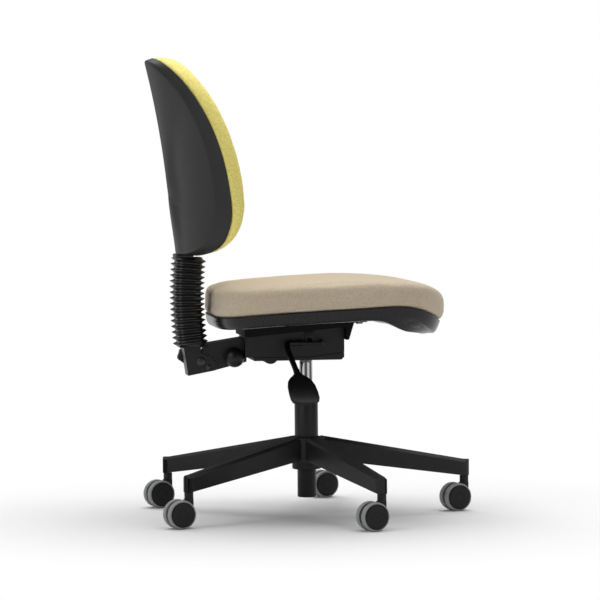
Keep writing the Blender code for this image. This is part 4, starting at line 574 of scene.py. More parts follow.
def make_column():
    sill = FOOT_BOTTOM + 0.010
    sill_top = sill + 0.004
    step = COLLAR_BOTTOM + 0.004
    tube = spun([(TUBE_RADIUS, TUBE_TOP), (TUBE_RADIUS, COLLAR_BOTTOM - 0.0005),
                 (FOOT_RADIUS, COLLAR_BOTTOM - 0.0025), (FOOT_RADIUS, FOOT_BOTTOM + 0.0020),
                 (FOOT_RADIUS - 0.0005, FOOT_BOTTOM + 0.0006), (FOOT_RADIUS - 0.0018, FOOT_BOTTOM),
                 (FOOT_BORE, FOOT_BOTTOM), (FOOT_BORE, sill), (ROD_HOLE, sill), (ROD_HOLE, sill_top),
                 (FOOT_BORE, sill_top), (FOOT_BORE, step), (TUBE_BORE, step), (TUBE_BORE, TUBE_TOP)],
                ROUND_STEPS)
    piece("column_sleeve", soften(tube, 0.0008), POWDER_COAT, "base", "black_painted_steel",
          ["column_tube"])
    rim = TUBE_TOP + BUSH_RIM
    rest = TUBE_TOP + FIT
    end = TUBE_TOP - BUSH_LENGTH
    bush = spun([(TUBE_RADIUS, rim), (TUBE_RADIUS, rest), (BUSH_RADIUS, rest), (BUSH_RADIUS, end),
                 (BUSH_BORE, end), (BUSH_BORE, rim)], ROUND_STEPS)
    piece("guide_bush", soften(bush, 0.0009), ACETAL, "base", "black_acetal", ["column_bush"])
    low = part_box("gas_cylinder")[0].z
    cap = CYLINDER_TOP - VALVE_DEPTH
    cylinder = spun([(CYLINDER_RADIUS, CYLINDER_TOP), (CYLINDER_RADIUS, low), (ROD_HOLE, low),
                     (ROD_HOLE, low + 0.006), (CYLINDER_BORE, low + 0.006), (CYLINDER_BORE, cap),
                     (VALVE_HOLE, cap), (VALVE_HOLE, CYLINDER_TOP)], ROUND_STEPS)
    piece("chromed_cylinder", soften(cylinder, 0.0006), CHROME, SEAT_BODY, "chrome", ["gas_cylinder"])


# Castors

FORK_HALF_WIDTH = 0.0056
FORK_RADIUS = 0.0283
RISER_HALF_WIDTH = 0.0085
NECK_RADIUS = 0.0095
STEM_HOLE = 0.0058
STEM_FLOOR = 0.0031
SPIGOT_RADIUS = 0.004
WHEEL_STEPS = 72
TYRE_SECTION = ((0.02357, 0.0062), (0.0279, 0.0062), (0.0291, 0.0066), (0.0297, 0.0075), (0.0300, 0.0092),
                (0.0300, 0.0150), (0.0297, 0.0172), (0.0290, 0.0186), (0.0279, 0.0192), (0.02357, 0.0192))
DISC_SECTION = ((0, 0.0217), (0.0096, 0.0217), (0.0099, 0.0213), (0.0107, 0.0213), (0.0110, 0.0218),
                (0.0226, 0.0220), (0.0246, 0.0217), (0.0258, 0.0210), (0.02627, 0.0201), (0.02627, 0.0195),
                (0.02327, 0.0195), (0.02327, 0.0062), (0.0043, 0.0062), (0.0043, 0.0188), (0, 0.0188))


def hood_outline():
    """Side view of the castor's middle plate: a round hood and the riser that carries the neck."""
    middle = (CASTOR_TRAIL, TYRE_RADIUS)
    behind = degrees(acos((RISER_HALF_WIDTH - CASTOR_TRAIL) / FORK_RADIUS))
    top = NECK_BOTTOM + 0.0015
    return arc(middle, FORK_RADIUS, -30, behind - 10, 28) + [
        (RISER_HALF_WIDTH, top), (-RISER_HALF_WIDTH, top),
        (-RISER_HALF_WIDTH, TYRE_RADIUS + RISER_HALF_WIDTH)] + arc(middle, FORK_RADIUS, 185, 210, 6)


def make_castor(number):
    angle = tau * (number - 1) / ARM_COUNT
    stand = Matrix.Translation((STEM_CIRCLE * sin(angle), -STEM_CIRCLE * cos(angle), 0))
    stand = stand @ Matrix.Rotation(CASTOR_YAW, 4, "Z")
    axle = (0, CASTOR_TRAIL, TYRE_RADIUS)
    hood = moved(extruded(hood_outline(), 2 * FORK_HALF_WIDTH), side_view(-FORK_HALF_WIDTH))
    neck = spun([(0, NECK_BOTTOM), (NECK_RADIUS, NECK_BOTTOM), (NECK_RADIUS, NECK_TOP),
                 (STEM_HOLE, NECK_TOP), (STEM_HOLE, NECK_BOTTOM + STEM_FLOOR),
                 (0, NECK_BOTTOM + STEM_FLOOR)], 48)
    spigot = CASTOR_HALF_WIDTH - 0.0035
    axle_bar = spun([(0, -spigot), (SPIGOT_RADIUS, -spigot), (SPIGOT_RADIUS, spigot), (0, spigot)], 32)
    body = joined([soften(hood, 0.0010), soften(neck, 0.0009), moved(axle_bar, across(*axle))])
    piece(f"castor_hood_{number}", moved(body, stand), ACETAL, f"castor_{number}", "black_acetal",
          [f"castor_body_{number}"], flat=True)
    for side, outward in (("left", 1), ("right", -1)):
        place = stand @ across(*axle, outward)
        rider = f"{side}_wheel_{number}"
        piece(f"wheel_disc_{side}_{number}", moved(spun(DISC_SECTION, WHEEL_STEPS), place), ACETAL, rider,
              "black_acetal", [f"wheel_{side}_{number}"], 30)
        piece(f"tread_{side}_{number}", moved(spun(TYRE_SECTION, WHEEL_STEPS), place), POLYURETHANE, rider,
              "grey_tread", [f"tyre_{side}_{number}"], 50)


# Mechanism

def make_mechanism():
    channel = piece("mechanism_channel", refined("mechanism_housing", 0.0007), POWDER_COAT, SEAT_BODY,
                    "black_painted_steel", ["mechanism_housing"], flat=True)
    make_lever_lugs(channel)
    for name, node, width, finish, body, slot in (
            ("lower_cover", "housing_cover", 0.0012, NYLON, SEAT_BODY, "black_nylon"),
            ("carrier_plate", "seat_plate", 0.0008, DIP_PAINT, SEAT_BODY, "black_painted_steel"),
            ("elbow_bracket", "back_bracket", 0.0007, POWDER_COAT, ARM_BODY, "black_painted_steel"),
            ("flat_bar", "upright_bar", 0.0008, POWDER_COAT, BACK_BODY, "black_painted_steel")):
        piece(name, refined(node, width), finish, body, slot, [node], flat=True)


TENSION_PLACE = (0, 0.158, 0.340)
CLAMP_PLACE = (0, 0.25304, 0.341)
FORK_FACE = 0.0238
BRACKET_FACE = 0.0278
STUD_RADIUS = 0.004
STUD_END = 0.0203
DOME_RADIUS = 0.0205
DOME_BASE = FORK_FACE + 0.015
DOME_RISE = 0.019
LOBES = 5
LOBE_STEPS = 100
LOBE_RADIUS = 0.018
LOBE_DEPTH = 0.00125
PIN_RADIUS = 0.006
STOP_RADIUS = 0.003


def make_knobs():
    """Domed tension knob on the sitter's right, and lobed clamp knob on the left."""
    dome = [(DOME_RADIUS * u, DOME_BASE + DOME_RISE * v) for u, v in arc((0, 0), 1.0, 0, 90, 14)[:-1]]
    profile = [(0, 0.0), (STUD_RADIUS, 0.0), (STUD_RADIUS, FORK_FACE), (0.0165, FORK_FACE),
               (0.0193, FORK_FACE + 0.0012), (0.0203, FORK_FACE + 0.004)] + dome
    profile.append((0, DOME_BASE + DOME_RISE))
    # The dome's base colour is darkened as painted shade.
    piece("tension_dome", moved(spun(profile, 72), across(*TENSION_PLACE, -1)), SHADE_DARKENED_ABS, "tension",
          "black_nylon", ["tension_knob"], 50)
    outline = []
    for i in range(LOBE_STEPS):
        angle = tau * i / LOBE_STEPS
        radius = LOBE_RADIUS - LOBE_DEPTH * (1 - cos(LOBES * angle))
        outline.append((radius * cos(angle), radius * sin(angle)))
    head = soften(extruded(outline, 0.024), 0.0028, 4)
    moved(head, Matrix.Translation((0, 0, BRACKET_FACE + 0.0033)))
    near = BRACKET_FACE + FIT
    far = BRACKET_FACE + 0.006
    stud = spun([(0, STUD_END), (STUD_RADIUS, STUD_END), (STUD_RADIUS, near), (0.008, near), (0.008, far),
                 (0, far)], 40)
    piece("clamp_star", moved(joined([head, stud]), across(*CLAMP_PLACE)), NYLON, "clamp", "black_nylon",
          ["clamp_knob"])


def make_pins():
    """Hinge pin and stop pin at the elbow, with domed heads on the sitter's right."""
    end = BRACKET_FACE + 0.001
    pin = spun([(0, -end - 0.0036), (0.0045, -end - 0.0033), (0.0080, -end - 0.0024),
                (0.0097, -end - 0.0009), (0.0100, 0.0006 - end), (PIN_RADIUS, 0.0006 - end),
                (PIN_RADIUS, end - 0.0012), (0.0048, end), (0, end)], 48)
    piece("elbow_pin", moved(pin, across(*ELBOW)), BLACK_OXIDE, SEAT_BODY, "black_painted_steel",
          ["hinge_pin"])
    near = BRACKET_FACE + FIT
    far = near + 0.002
    stop = spun([(0, -far - 0.0012), (0.0028, -far - 0.0009), (0.0050, -far), (PIN_RADIUS, 0.0012 - far),
                 (PIN_RADIUS, -near), (STOP_RADIUS, -near), (STOP_RADIUS, near), (PIN_RADIUS, near),
                 (PIN_RADIUS, far - 0.0006), (0.0052, far), (0, far)], 40)
    piece("stop_rivet", moved(stop, across(0, ELBOW.y - 0.0151, ELBOW.z - 0.0121)), BLACK_OXIDE, ARM_BODY,
          "black_painted_steel", ["stop_pin"])


SPRING_TURNS = 4
SPRING_STEPS = 40
SPRING_RADIUS = 0.0085
SPRING_WIRE = 0.00125
SPRING_Y = 0.185


def make_recline_spring():
    low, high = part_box("recline_spring")
    foot = low.z + SPRING_WIRE
    rise = high.z - low.z - 2 * SPRING_WIRE
    steps = SPRING_TURNS * SPRING_STEPS
    path = []
    for i in range(steps + 1):
        turn = tau * i / SPRING_STEPS
        path.append((SPRING_RADIUS * cos(turn), SPRING_Y + SPRING_RADIUS * sin(turn),
                     foot + rise * i / steps))
    coil = piece("recline_coil", wire(path, SPRING_WIRE), ZINC, SEAT_BODY, "bright_steel",
                 ["recline_spring"])
    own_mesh(coil)


LEVER = Vector((-0.064, 0, 0.370))
LEVER_ELBOW_Y = 0.051
LUG_FRONT_Y = -0.0267
LUG_REAR_Y = 0.0175
LUG_HALF_LENGTH = 0.005
BOSS_RADIUS = 0.0056
BOSS_LENGTH = 0.020
WEB_HALF_WIDTH = 0.0045
HOUSING_FACE = -0.050
ROD_RADIUS = 0.0028
ROD_FRONT = 0.0317
SLEEVE_RADIUS = 0.0060
SLEEVE_BEND = 0.010
VALVE_RISE = 0.0118
TONGUE_END = 0.006
TONGUE_RISE = 0.0185
TONGUE_THICKNESS = 0.0045
PADDLE_ROOT = Vector((-0.150, 0.043, 0.318))
PADDLE_RUN = Vector((-0.095, -0.007, -0.056))
PADDLE_DROOP = 0.006
DROOP_START = 0.045
DROOP_LENGTH = 0.070
PADDLE_POINTS = 28
PADDLE_SQUARENESS = 0.55
PADDLE_LENGTH = 0.116
# Distance from the root, half width and half thickness of the paddle, in millimetres
PADDLE_STATIONS = ((0, 6.2, 5.8), (9, 6.4, 5.2), (15, 8.0, 4.7), (20, 11.5, 4.4), (29, 19.5, 4.1),
                   (40, 25.5, 4.0), (58, 29.5, 4.0), (80, 31.0, 3.9), (97, 30.8, 3.8), (107, 28.0, 3.5),
                   (112.5, 22.0, 2.8), (115, 13.5, 1.8))


def make_lever_lugs(channel):
    """Turn the channel's square lugs into a round boss and a barrel, in which the release rod turns."""
    for y in (LUG_FRONT_Y, LUG_REAR_Y):
        carve(channel, brick((LEVER.x - 0.010, y - LUG_HALF_LENGTH - 0.0005, LEVER.z - 0.010),
                             (HOUSING_FACE - FIT, y + LUG_HALF_LENGTH + 0.0005, LEVER.z + 0.010)))
    root = HOUSING_FACE + 0.0005
    boss = spun([(0, 0), (BOSS_RADIUS, 0), (BOSS_RADIUS, BOSS_LENGTH), (0, BOSS_LENGTH)], 40)
    moved(soften(boss, 0.0012, 3), across(root, LUG_FRONT_Y, LEVER.z, -1))
    length = 2 * LUG_HALF_LENGTH
    barrel = spun([(0, 0), (SLEEVE_RADIUS, 0), (SLEEVE_RADIUS, length), (0, length)], 40)
    moved(soften(barrel, 0.0005), Matrix.Translation((LEVER.x, LUG_REAR_Y + LUG_HALF_LENGTH, LEVER.z))
          @ Matrix.Rotation(pi / 2, 4, "X"))
    web = brick((LEVER.x, LUG_REAR_Y - WEB_HALF_WIDTH, LEVER.z - WEB_HALF_WIDTH),
                (root, LUG_REAR_Y + WEB_HALF_WIDTH, LEVER.z + WEB_HALF_WIDTH))
    piece("lever_lugs", joined([boss, barrel, web]), POWDER_COAT, SEAT_BODY, "black_painted_steel")


def paddle_rings(side, way, normal):
    """Rings of a spade whose blade droops towards its end."""
    def place(across_blade, along, rise):
        droop = PADDLE_DROOP * (max(along - DROOP_START, 0.0) / DROOP_LENGTH) ** 2
        return PADDLE_ROOT + side * across_blade + way * along + normal * (rise - droop)

    turns = [tau * i / PADDLE_POINTS for i in range(PADDLE_POINTS)]
    rings = [[place(0, -0.001, 0)] * PADDLE_POINTS]
    for along, half, thick in PADDLE_STATIONS:
        rings.append([place(half * MM * signed_power(cos(turn), PADDLE_SQUARENESS), along * MM,
                            thick * MM * signed_power(sin(turn), PADDLE_SQUARENESS)) for turn in turns])
    return rings + [[place(0, PADDLE_LENGTH, 0)] * PADDLE_POINTS]


def make_lever():
    """Bent release rod with a tongue over the valve, a moulded sleeve and a spade-shaped paddle."""
    way = PADDLE_RUN.normalized()
    bend = SLEEVE_BEND
    sleeve_start = LEVER + Vector((0, LUG_REAR_Y + LUG_HALF_LENGTH + 0.0004, 0))
    elbow = LEVER + Vector((0, LEVER_ELBOW_Y, 0))
    approach = PADDLE_ROOT - way * bend
    rod = wire([LEVER - Vector((0, ROD_FRONT, 0)), sleeve_start + Vector((0, 0.004, 0))], ROD_RADIUS, 20)
    press = CYLINDER_TOP + VALVE_RISE + FIT
    rise = LEVER.x + TONGUE_RISE
    top = press + TONGUE_THICKNESS
    tongue = extruded([(TONGUE_END, press), (TONGUE_END, top), (rise, top), (LEVER.x, LEVER.z + 0.002),
                       (LEVER.x, LEVER.z - 0.002), (rise, press)], 0.010)
    moved(tongue, Matrix.Translation((0, 0.005, 0)) @ Matrix.Rotation(pi / 2, 4, "X"))
    shutter = brick((LEVER.x + 0.0094, -0.0095, LEVER.z), (LEVER.x + 0.0110, 0.0095, LEVER.z + 0.0245))
    piece("release_rod", joined([rod, soften(tongue, 0.0006), soften(shutter, 0.0006)]), POWDER_COAT,
          "lever", "black_painted_steel", ["height_lever"])

    side = (Vector((0, 1, 0)) - way * way.y).normalized()
    sleeve = wire([sleeve_start, elbow - Vector((0, bend, 0)), elbow + Vector((-bend / 5, -bend / 3, 0)),
                   elbow + Vector((-bend, 0, -bend / 4)),
                   elbow + (approach - elbow) * 0.3 + Vector((0, bend / 4, 0)),
                   approach, PADDLE_ROOT + way * bend], SLEEVE_RADIUS, 24, rounded=True)
    blade = drawn_out(paddle_rings(side, way, side.cross(way)))
    # The paddle's base colour is darkened as painted shade, for the shade under the seat.
    piece("release_paddle", joined([sleeve, blade]), SHADE_DARKENED_ABS, "lever", "black_nylon", ["lever_paddle"])


# Bellows

BELLOWS_FINS = 16
BELLOWS_WIDTH = 0.090
BELLOWS_DEPTH = 0.070
BELLOWS_FIN_DEPTH = 0.008
BELLOWS_WALL = 0.002
BELLOWS_CORNER = 0.025
BELLOWS_BOTTOM = 0.3658
BELLOWS_LENGTH = 0.1867
BELLOWS_Y = 0.2465
BELLOWS_LEAN = 0.0027
BELLOWS_BOW = 0.0055
SLOT_HALF_WIDTH = 0.026
FIN_SECTION = ((0.0, 1.0), (0.12, 0.94), (0.36, 0.40), (0.50, 0.10), (0.57, 0.0), (0.63, 0.03),
               (0.72, 0.45), (0.85, 0.95))


def bellows_ring(share, inset):
    """Rounded oblong round the bellows' axis, level at both ends and square to the bow between them."""
    z = BELLOWS_BOTTOM + BELLOWS_LENGTH * share
    y = BELLOWS_Y + BELLOWS_LEAN * share + 4 * BELLOWS_BOW * share * (1 - share)
    half_x = BELLOWS_WIDTH / 2 - inset
    half_y = BELLOWS_DEPTH / 2 - inset
    corner = BELLOWS_CORNER - inset
    slope = 4 * BELLOWS_BOW * (1 - 2 * share) / BELLOWS_LENGTH * min(1.0, 40 * share * (1 - share))
    ring = []
    for quarter, (sx, sy) in enumerate(((1, 1), (-1, 1), (-1, -1), (1, -1))):
        centre = (sx * (half_x - corner), sy * (half_y - corner))
        for u, v in arc(centre, corner, quarter * 90, quarter * 90 + 90, 8):
            ring.append((u, y + v, z - slope * v))
    return ring


def make_bellows():
    outer = []
    for fin in range(BELLOWS_FINS):
        outer += [bellows_ring((fin + along) / BELLOWS_FINS, BELLOWS_FIN_DEPTH * inset)
                  for along, inset in FIN_SECTION]
    outer.append(bellows_ring(1.0, BELLOWS_FIN_DEPTH))
    bore = [bellows_ring(i / 8, BELLOWS_FIN_DEPTH + BELLOWS_WALL) for i in range(8, -1, -1)]
    sleeve = piece("bellows_sleeve", drawn_out(outer + bore, looped=True), EPDM_RUBBER, None,
                   "black_rubber", ["bellows"], 60)
    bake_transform(sleeve)
    top = BELLOWS_BOTTOM + BELLOWS_LENGTH
    neck = brick((-SLOT_HALF_WIDTH, BELLOWS_Y - 0.005, top - 0.003),
                 (SLOT_HALF_WIDTH, BELLOWS_Y + 0.034, top + 0.008))
    piece("bellows_neck", soften(neck, 0.003, 3), EPDM_RUBBER, BACK_BODY, "black_rubber")


# Seat

SEAT_HALF_WIDTH = 0.237
SEAT_LENGTH = 0.482
SEAT_REAR = 0.205
SEAT_FRONT = SEAT_REAR - SEAT_LENGTH
SEAT_MIDDLE = (SEAT_REAR + SEAT_FRONT) / 2
SEAT_FRONT_SQUARENESS = 3.2
SEAT_REAR_SQUARENESS = 4.2
SEAT_TAPER = 0.05
PAN_FLOOR = 0.4105
PAN_SLOPE = 0.055
PAN_WALL = 0.0035
PAN_RIM = 0.0043
PAN_SKIRT = 0.0265
PAN_SKIRT_INSET = 0.0107
PAN_SKIRT_ROUND = 0.006
PAN_FLOOR_DEPTH = 0.0347
PAN_LIP = 0.0275
PAN_LIP_START = 0.162
PAN_LIP_LENGTH = 0.075
PAN_LIP_FADE = 0.3
LIP_TURN = 0.8
LIP_TURN_END = 0.090
LIP_TURN_FADE = 0.090
LIP_PINCH = 0.05
PLATE_HALF_WIDTH = 0.075
PLATE_FRONT = -0.1208
PLATE_REAR = 0.1405
FLAT_MARGIN = 0.012
FLAT_INSET = 0.146
FLOOR_BEND = 0.075
FLOOR_INSETS = (0.096, 0.062, 0.034)
TUCK = 0.024
TUCK_START = 0.157
TUCK_LENGTH = 0.140
BOARD_THICKNESS = 0.012
SOFT_GAP = 0.0006
SEAM_SLOPE = 0.045
SEAM_FALL = 2.95
SEAM_FALL_START = 0.127
SEAM_REAR_FALL = 0.25
SEAM_REAR_LENGTH = 0.175
PAD_HEIGHT = 0.0513
PAD_SLOPE = 0.005
PAD_CROWN = 0.004
PAD_CAMBER = 0.0015
PAD_FRONT_FULLNESS = 2
PAD_REAR_FULLNESS = 2.2
PAD_FALL = 0.39
PAD_FALL_START = 0.247
NOSE_FALL = 3.0
NOSE_START = 0.062
PAD_SIDE = ((0.0012, 0.0), (-0.0040, 0.22), (-0.0060, 0.5), (-0.0048, 0.81), (0.0008, 0.96))
PAD_NOSE = 0.009
PAD_TOP_INSETS = (0.0105, 0.026, 0.052, 0.096, 0.156)
RING_POINTS = 64


def seat_ring(inset, height, tuck=0.0, pinch=0.0):
    """Ring inside the seat's plan.

    A tuck draws its front back, under the nose, and a pinch makes it narrower there.
    """
    half_width = SEAT_HALF_WIDTH - inset
    half_length = SEAT_LENGTH / 2 - inset
    ring = []
    for i in range(RING_POINTS):
        turn = tau * (i + 0.5) / RING_POINTS
        power = 2 / (SEAT_REAR_SQUARENESS if sin(turn) > 0 else SEAT_FRONT_SQUARENESS)
        across_seat = signed_power(cos(turn), power)
        along_seat = signed_power(sin(turn), power)
        x = half_width * across_seat * (1 - SEAT_TAPER * along_seat)
        y = SEAT_MIDDLE + half_length * along_seat
        x *= 1 - pinch * smoothstep(ahead_of(PAN_LIP_START, y) / PAN_LIP_LENGTH)
        y += tuck * smoothstep((SEAT_FRONT + TUCK_START - y) / TUCK_LENGTH)
        ring.append((x, y, height(x, y)))
    return ring


def seat_pole(height):
    return [(0, SEAT_MIDDLE, height(0, SEAT_MIDDLE))] * RING_POINTS


def ahead_of(start, y):
    """How far a point lies ahead of a line that is set back from the seat's front edge."""
    return max(SEAT_FRONT + start - y, 0.0)


def seam_height(x, y):
    """Line where the pad meets the pan, which falls away at the front and a little at the rear."""
    behind = max(y - SEAT_REAR + SEAM_REAR_LENGTH, 0.0)
    fall = SEAM_FALL * ahead_of(SEAM_FALL_START, y) ** 2 + SEAM_REAR_FALL * behind ** 2
    return PAN_FLOOR + PAN_FLOOR_DEPTH - SEAM_SLOPE * y - fall


def lip_drop(y):
    return PAN_LIP * smoothstep(ahead_of(PAN_LIP_START, y) / PAN_LIP_LENGTH)


def skirt_bottom(x, y):
    """Lower edge of the pan, which drops into a lip at the front."""
    fade = PAN_LIP_FADE * SEAM_FALL * ahead_of(SEAM_FALL_START, y) ** 2
    return seam_height(x, y) - PAN_SKIRT - lip_drop(y) + fade


def lip_edge(x, y):
    """Line on the pan's side under which the front lip turns inwards. It runs out at the front."""
    turned = LIP_TURN * lip_drop(y) * (1 - smoothstep(ahead_of(LIP_TURN_END, y) / LIP_TURN_FADE))
    return skirt_bottom(x, y) + turned + PAN_SKIRT_ROUND / 2


def floor_height(rise):
    """Height of the pan's floor, flat over the carrier plate and bent to the skirt beyond it."""
    rear_room = SEAT_REAR - FLOOR_INSETS[-1] - PLATE_REAR - FLAT_MARGIN

    def height(x, y):
        past = max((abs(x) - PLATE_HALF_WIDTH - FLAT_MARGIN) / FLOOR_BEND,
                   (PLATE_FRONT - FLAT_MARGIN - y) / FLOOR_BEND,
                   (y - PLATE_REAR - FLAT_MARGIN) / rear_room)
        bend = smoothstep(past)
        return (PAN_FLOOR - PAN_SLOPE * y) * (1 - bend) + skirt_bottom(x, y) * bend + rise
    return height


def floor_rings(rise):
    height = floor_height(rise)
    return [seat_pole(height), seat_ring(FLAT_INSET, height)] + [
        seat_ring(inset, height, TUCK, LIP_PINCH) for inset in FLOOR_INSETS]


def lifted(height, rise):
    return lambda x, y: height(x, y) + rise


def make_seat_pan():
    low = lifted(skirt_bottom, PAN_SKIRT_ROUND)
    outside = floor_rings(0.0) + [
        seat_ring(PAN_SKIRT_INSET + 0.003, skirt_bottom, TUCK, LIP_PINCH),
        seat_ring(PAN_SKIRT_INSET, lifted(skirt_bottom, 0.0006), TUCK, LIP_PINCH),
        seat_ring(0.0062, lifted(lip_edge, -0.0008), 0.7 * TUCK),
        seat_ring(0.0054, lifted(lip_edge, 0.0012), 0.6 * TUCK),
        seat_ring(PAN_RIM / 2, lifted(lip_edge, PAN_SKIRT_ROUND), 0.33 * TUCK),
        seat_ring(0.0004, lifted(seam_height, -0.0012)), seat_ring(0.0, seam_height)]
    inside = [
        seat_ring(PAN_RIM, seam_height), seat_ring(2 * PAN_RIM, lifted(low, 2 * PAN_WALL), TUCK / 2),
        seat_ring(PAN_SKIRT_INSET + PAN_WALL, lifted(skirt_bottom, 1.5 * PAN_WALL), TUCK, LIP_PINCH)]
    rings = outside + inside + floor_rings(PAN_WALL)[::-1]
    pan = piece("seat_shell", drawn_out(rings), SMOOTH_POLYPROPYLENE, SEAT_BODY, "charcoal_plastic",
                ["seat_pan"])
    smooth(pan, 2)


def smooth(made, levels):
    """Finish a piece with a subdivision surface."""
    surface = made.modifiers.new("surface", "SUBSURF")
    surface.levels = levels
    surface.render_levels = levels


def pad_top(x, y):
    """Crowned upper face of the seat pad, which falls away to the front."""
    along = (y - SEAT_MIDDLE) / (SEAT_LENGTH / 2)
    fullness = PAD_REAR_FULLNESS if along > 0 else PAD_FRONT_FULLNESS
    camber = PAD_CAMBER * max(1 - (x / SEAT_HALF_WIDTH) ** 4, 0)
    crown = PAD_CROWN * max(1 - abs(along) ** fullness, 0) + camber
    fall = PAD_FALL * ahead_of(PAD_FALL_START, y) ** 2 + NOSE_FALL * ahead_of(NOSE_START, y) ** 2
    rim = PAN_FLOOR + PAN_FLOOR_DEPTH + PAD_HEIGHT - (SEAM_SLOPE + PAD_SLOPE) * y
    return rim + crown - fall


def pad_side(share):
    return lambda x, y: seam_height(x, y) + SOFT_GAP + share * (pad_top(x, y) - seam_height(x, y))


VOXEL = 5.0 * MM
VOXEL_SMOOTHING = 3
PAD_START = 1.5 * MM
PAD_CAP = 4 * MM
HELD_MARGIN = 4 * MM
ALL_SMOOTH = 180
PRESSURE = 3.0
CLOTH_FRAMES = 20
CLOTH_QUALITY = 5
FOLD_SMOOTHING = 8


def upholster(pad, held):
    """Inflate a pad as cloth over foam. Points for which held is true stay on the board."""
    remesh = pad.modifiers.new("voxels", "REMESH")
    remesh.mode = "VOXEL"
    remesh.voxel_size = VOXEL
    even = pad.modifiers.new("even", "SMOOTH")
    even.factor = 0.5
    even.iterations = VOXEL_SMOOTHING
    settle(pad)
    inflate(pad, held)
    smooth(pad, 1)
    pad.data.shade_smooth()


def inflate(pad, held):
    mesh = pad.data
    start = [vert.co.copy() for vert in mesh.vertices]
    group = pad.vertex_groups.new(name="held")
    group.add([i for i, place in enumerate(start) if held(place)], 1.0, "REPLACE")
    cloth = pad.modifiers.new("cloth", "CLOTH")
    cloth.settings.use_pressure = True
    cloth.settings.uniform_pressure_force = PRESSURE
    cloth.settings.vertex_group_mass = "held"
    cloth.settings.effector_weights.gravity = 0.0
    cloth.settings.quality = CLOTH_QUALITY
    cloth.point_cache.frame_start = 1
    cloth.point_cache.frame_end = CLOTH_FRAMES
    scene = bpy.context.scene
    for step in range(1, CLOTH_FRAMES + 1):
        scene.frame_set(step)
    swollen = pad.evaluated_get(bpy.context.evaluated_depsgraph_get()).data
    ends = [vert.co.copy() for vert in swollen.vertices]
    pad.modifiers.remove(cloth)
    pad.vertex_groups.remove(group)
    scene.frame_set(1)
    moves = [last - first for first, last in zip(start, ends)]
    for _ in range(FOLD_SMOOTHING):
        moves = averaged(mesh, moves)
    for vert, first, move in zip(mesh.vertices, start, moves):
        if move.length > PAD_CAP:
            move *= PAD_CAP / move.length
        vert.co = first + move
    mesh.update()


def averaged(mesh, moves):
    """Average each vertex's move with its neighbours', which irons out sharp folds."""
    sums = [move.copy() for move in moves]
    counts = [1] * len(moves)
    for edge in mesh.edges:
        first, second = edge.vertices
        sums[first] += moves[second]
        sums[second] += moves[first]
        counts[first] += 1
        counts[second] += 1
    return [total / count for total, count in zip(sums, counts)]


def make_seat_pad():
    below = floor_rings(PAN_WALL + BOARD_THICKNESS + 2 * SOFT_GAP)
    tongue = [seat_ring(0.018, lifted(seam_height, -0.006), TUCK / 2),
              seat_ring(0.0096, lifted(seam_height, SOFT_GAP))]
    side = [seat_ring(inset + PAD_START * smoothstep(4 * share), pad_side(share),
                      -PAD_NOSE * smoothstep(2 * share)) for inset, share in PAD_SIDE]
    crown = [seat_ring(inset + PAD_START, lifted(pad_top, -PAD_START)) for inset in PAD_TOP_INSETS]
    rings = below + tongue + side + crown + [seat_pole(lifted(pad_top, -PAD_START))]
    pad = piece("seat_pad", drawn_out(rings), SAND_CREPE, SEAT_BODY, "beige_cloth", ["seat_cushion"],
                ALL_SMOOTH)
    smooth(pad, 2)
    upholster(pad, lambda p: p.z < seam_height(p.x, p.y) + HELD_MARGIN)


# Back

BACK_HALF_WIDTH = 0.205
BACK_BOTTOM = 0.556
BACK_TOP = 0.975
BACK_WAIST = 0.685
BACK_TOP_ROUNDNESS = 2.3
BACK_BOTTOM_ROUNDNESS = 2.8
SPINE_Y = 0.2765
SPINE_LEAN = 0.095
SPINE_BEND = 0.145
SPINE_BULGE = 0.012
SPINE_BULGE_WIDTH = 0.034
SPINE_SPREAD = 0.070
SPINE_SPREAD_START = 0.72
SPINE_SPREAD_LENGTH = 0.20
SPINE_FLAT_ABOVE = 0.027
SPINE_FLAT_BELOW = 0.038
SPINE_FLAT_WIDTH = 0.040
SHELL_FLARE = 0.19
SHELL_FLARE_RISE = 0.244
SHELL_DIP = 0.002
WRAP_DEPTH = 0.0665
WRAP_HALF_WIDTH = 0.184
WRAP_POWER = 1.8
SEAM_DEPTH = 0.018
SEAM_WRAP = 0.090
SEAM_FOOT = 0.016
SEAM_FOOT_HEIGHT = 0.065
SHELL_WALL = 0.004
SHELL_RIM = 0.005
SHELL_EDGE = 0.95
SHELL_RIDGE = 0.89
SHELL_EDGE_WRAP = 0.45
SHELL_SPREAD = 0.75
BOARD_DEPTH = 0.036
BOARD_WRAP = 0.066
BOARD_WRAP_WIDTH = 0.190
BACK_BOARD_THICKNESS = 0.009
BACK_PAD_DEPTH = 0.0975
BACK_PAD_WRAP = 0.047
BULGE_RISE = 0.164
BULGE_FALL_UP = 0.28
BULGE_FALL_DOWN = 1.0
BACK_SIDE = ((1.014, 0.25), (1.018, 0.5), (1.008, 0.78), (0.975, 0.95))
SHELL_SHARES = (0, 0.12, 0.25, 0.38, 0.5, 0.62, 0.74, 0.83)
BACK_REAR_SHARES = (0, 0.2, 0.45, 0.75, 0.93)
BACK_FRONT_SHARES = (0.92, 0.78, 0.55, 0.3, 0)


def spine(z):
    """Rearmost line of the back, in its middle plane."""
    rise = z - BACK_BOTTOM
    return SPINE_Y + SPINE_LEAN * rise + SPINE_BEND * rise * abs(rise)


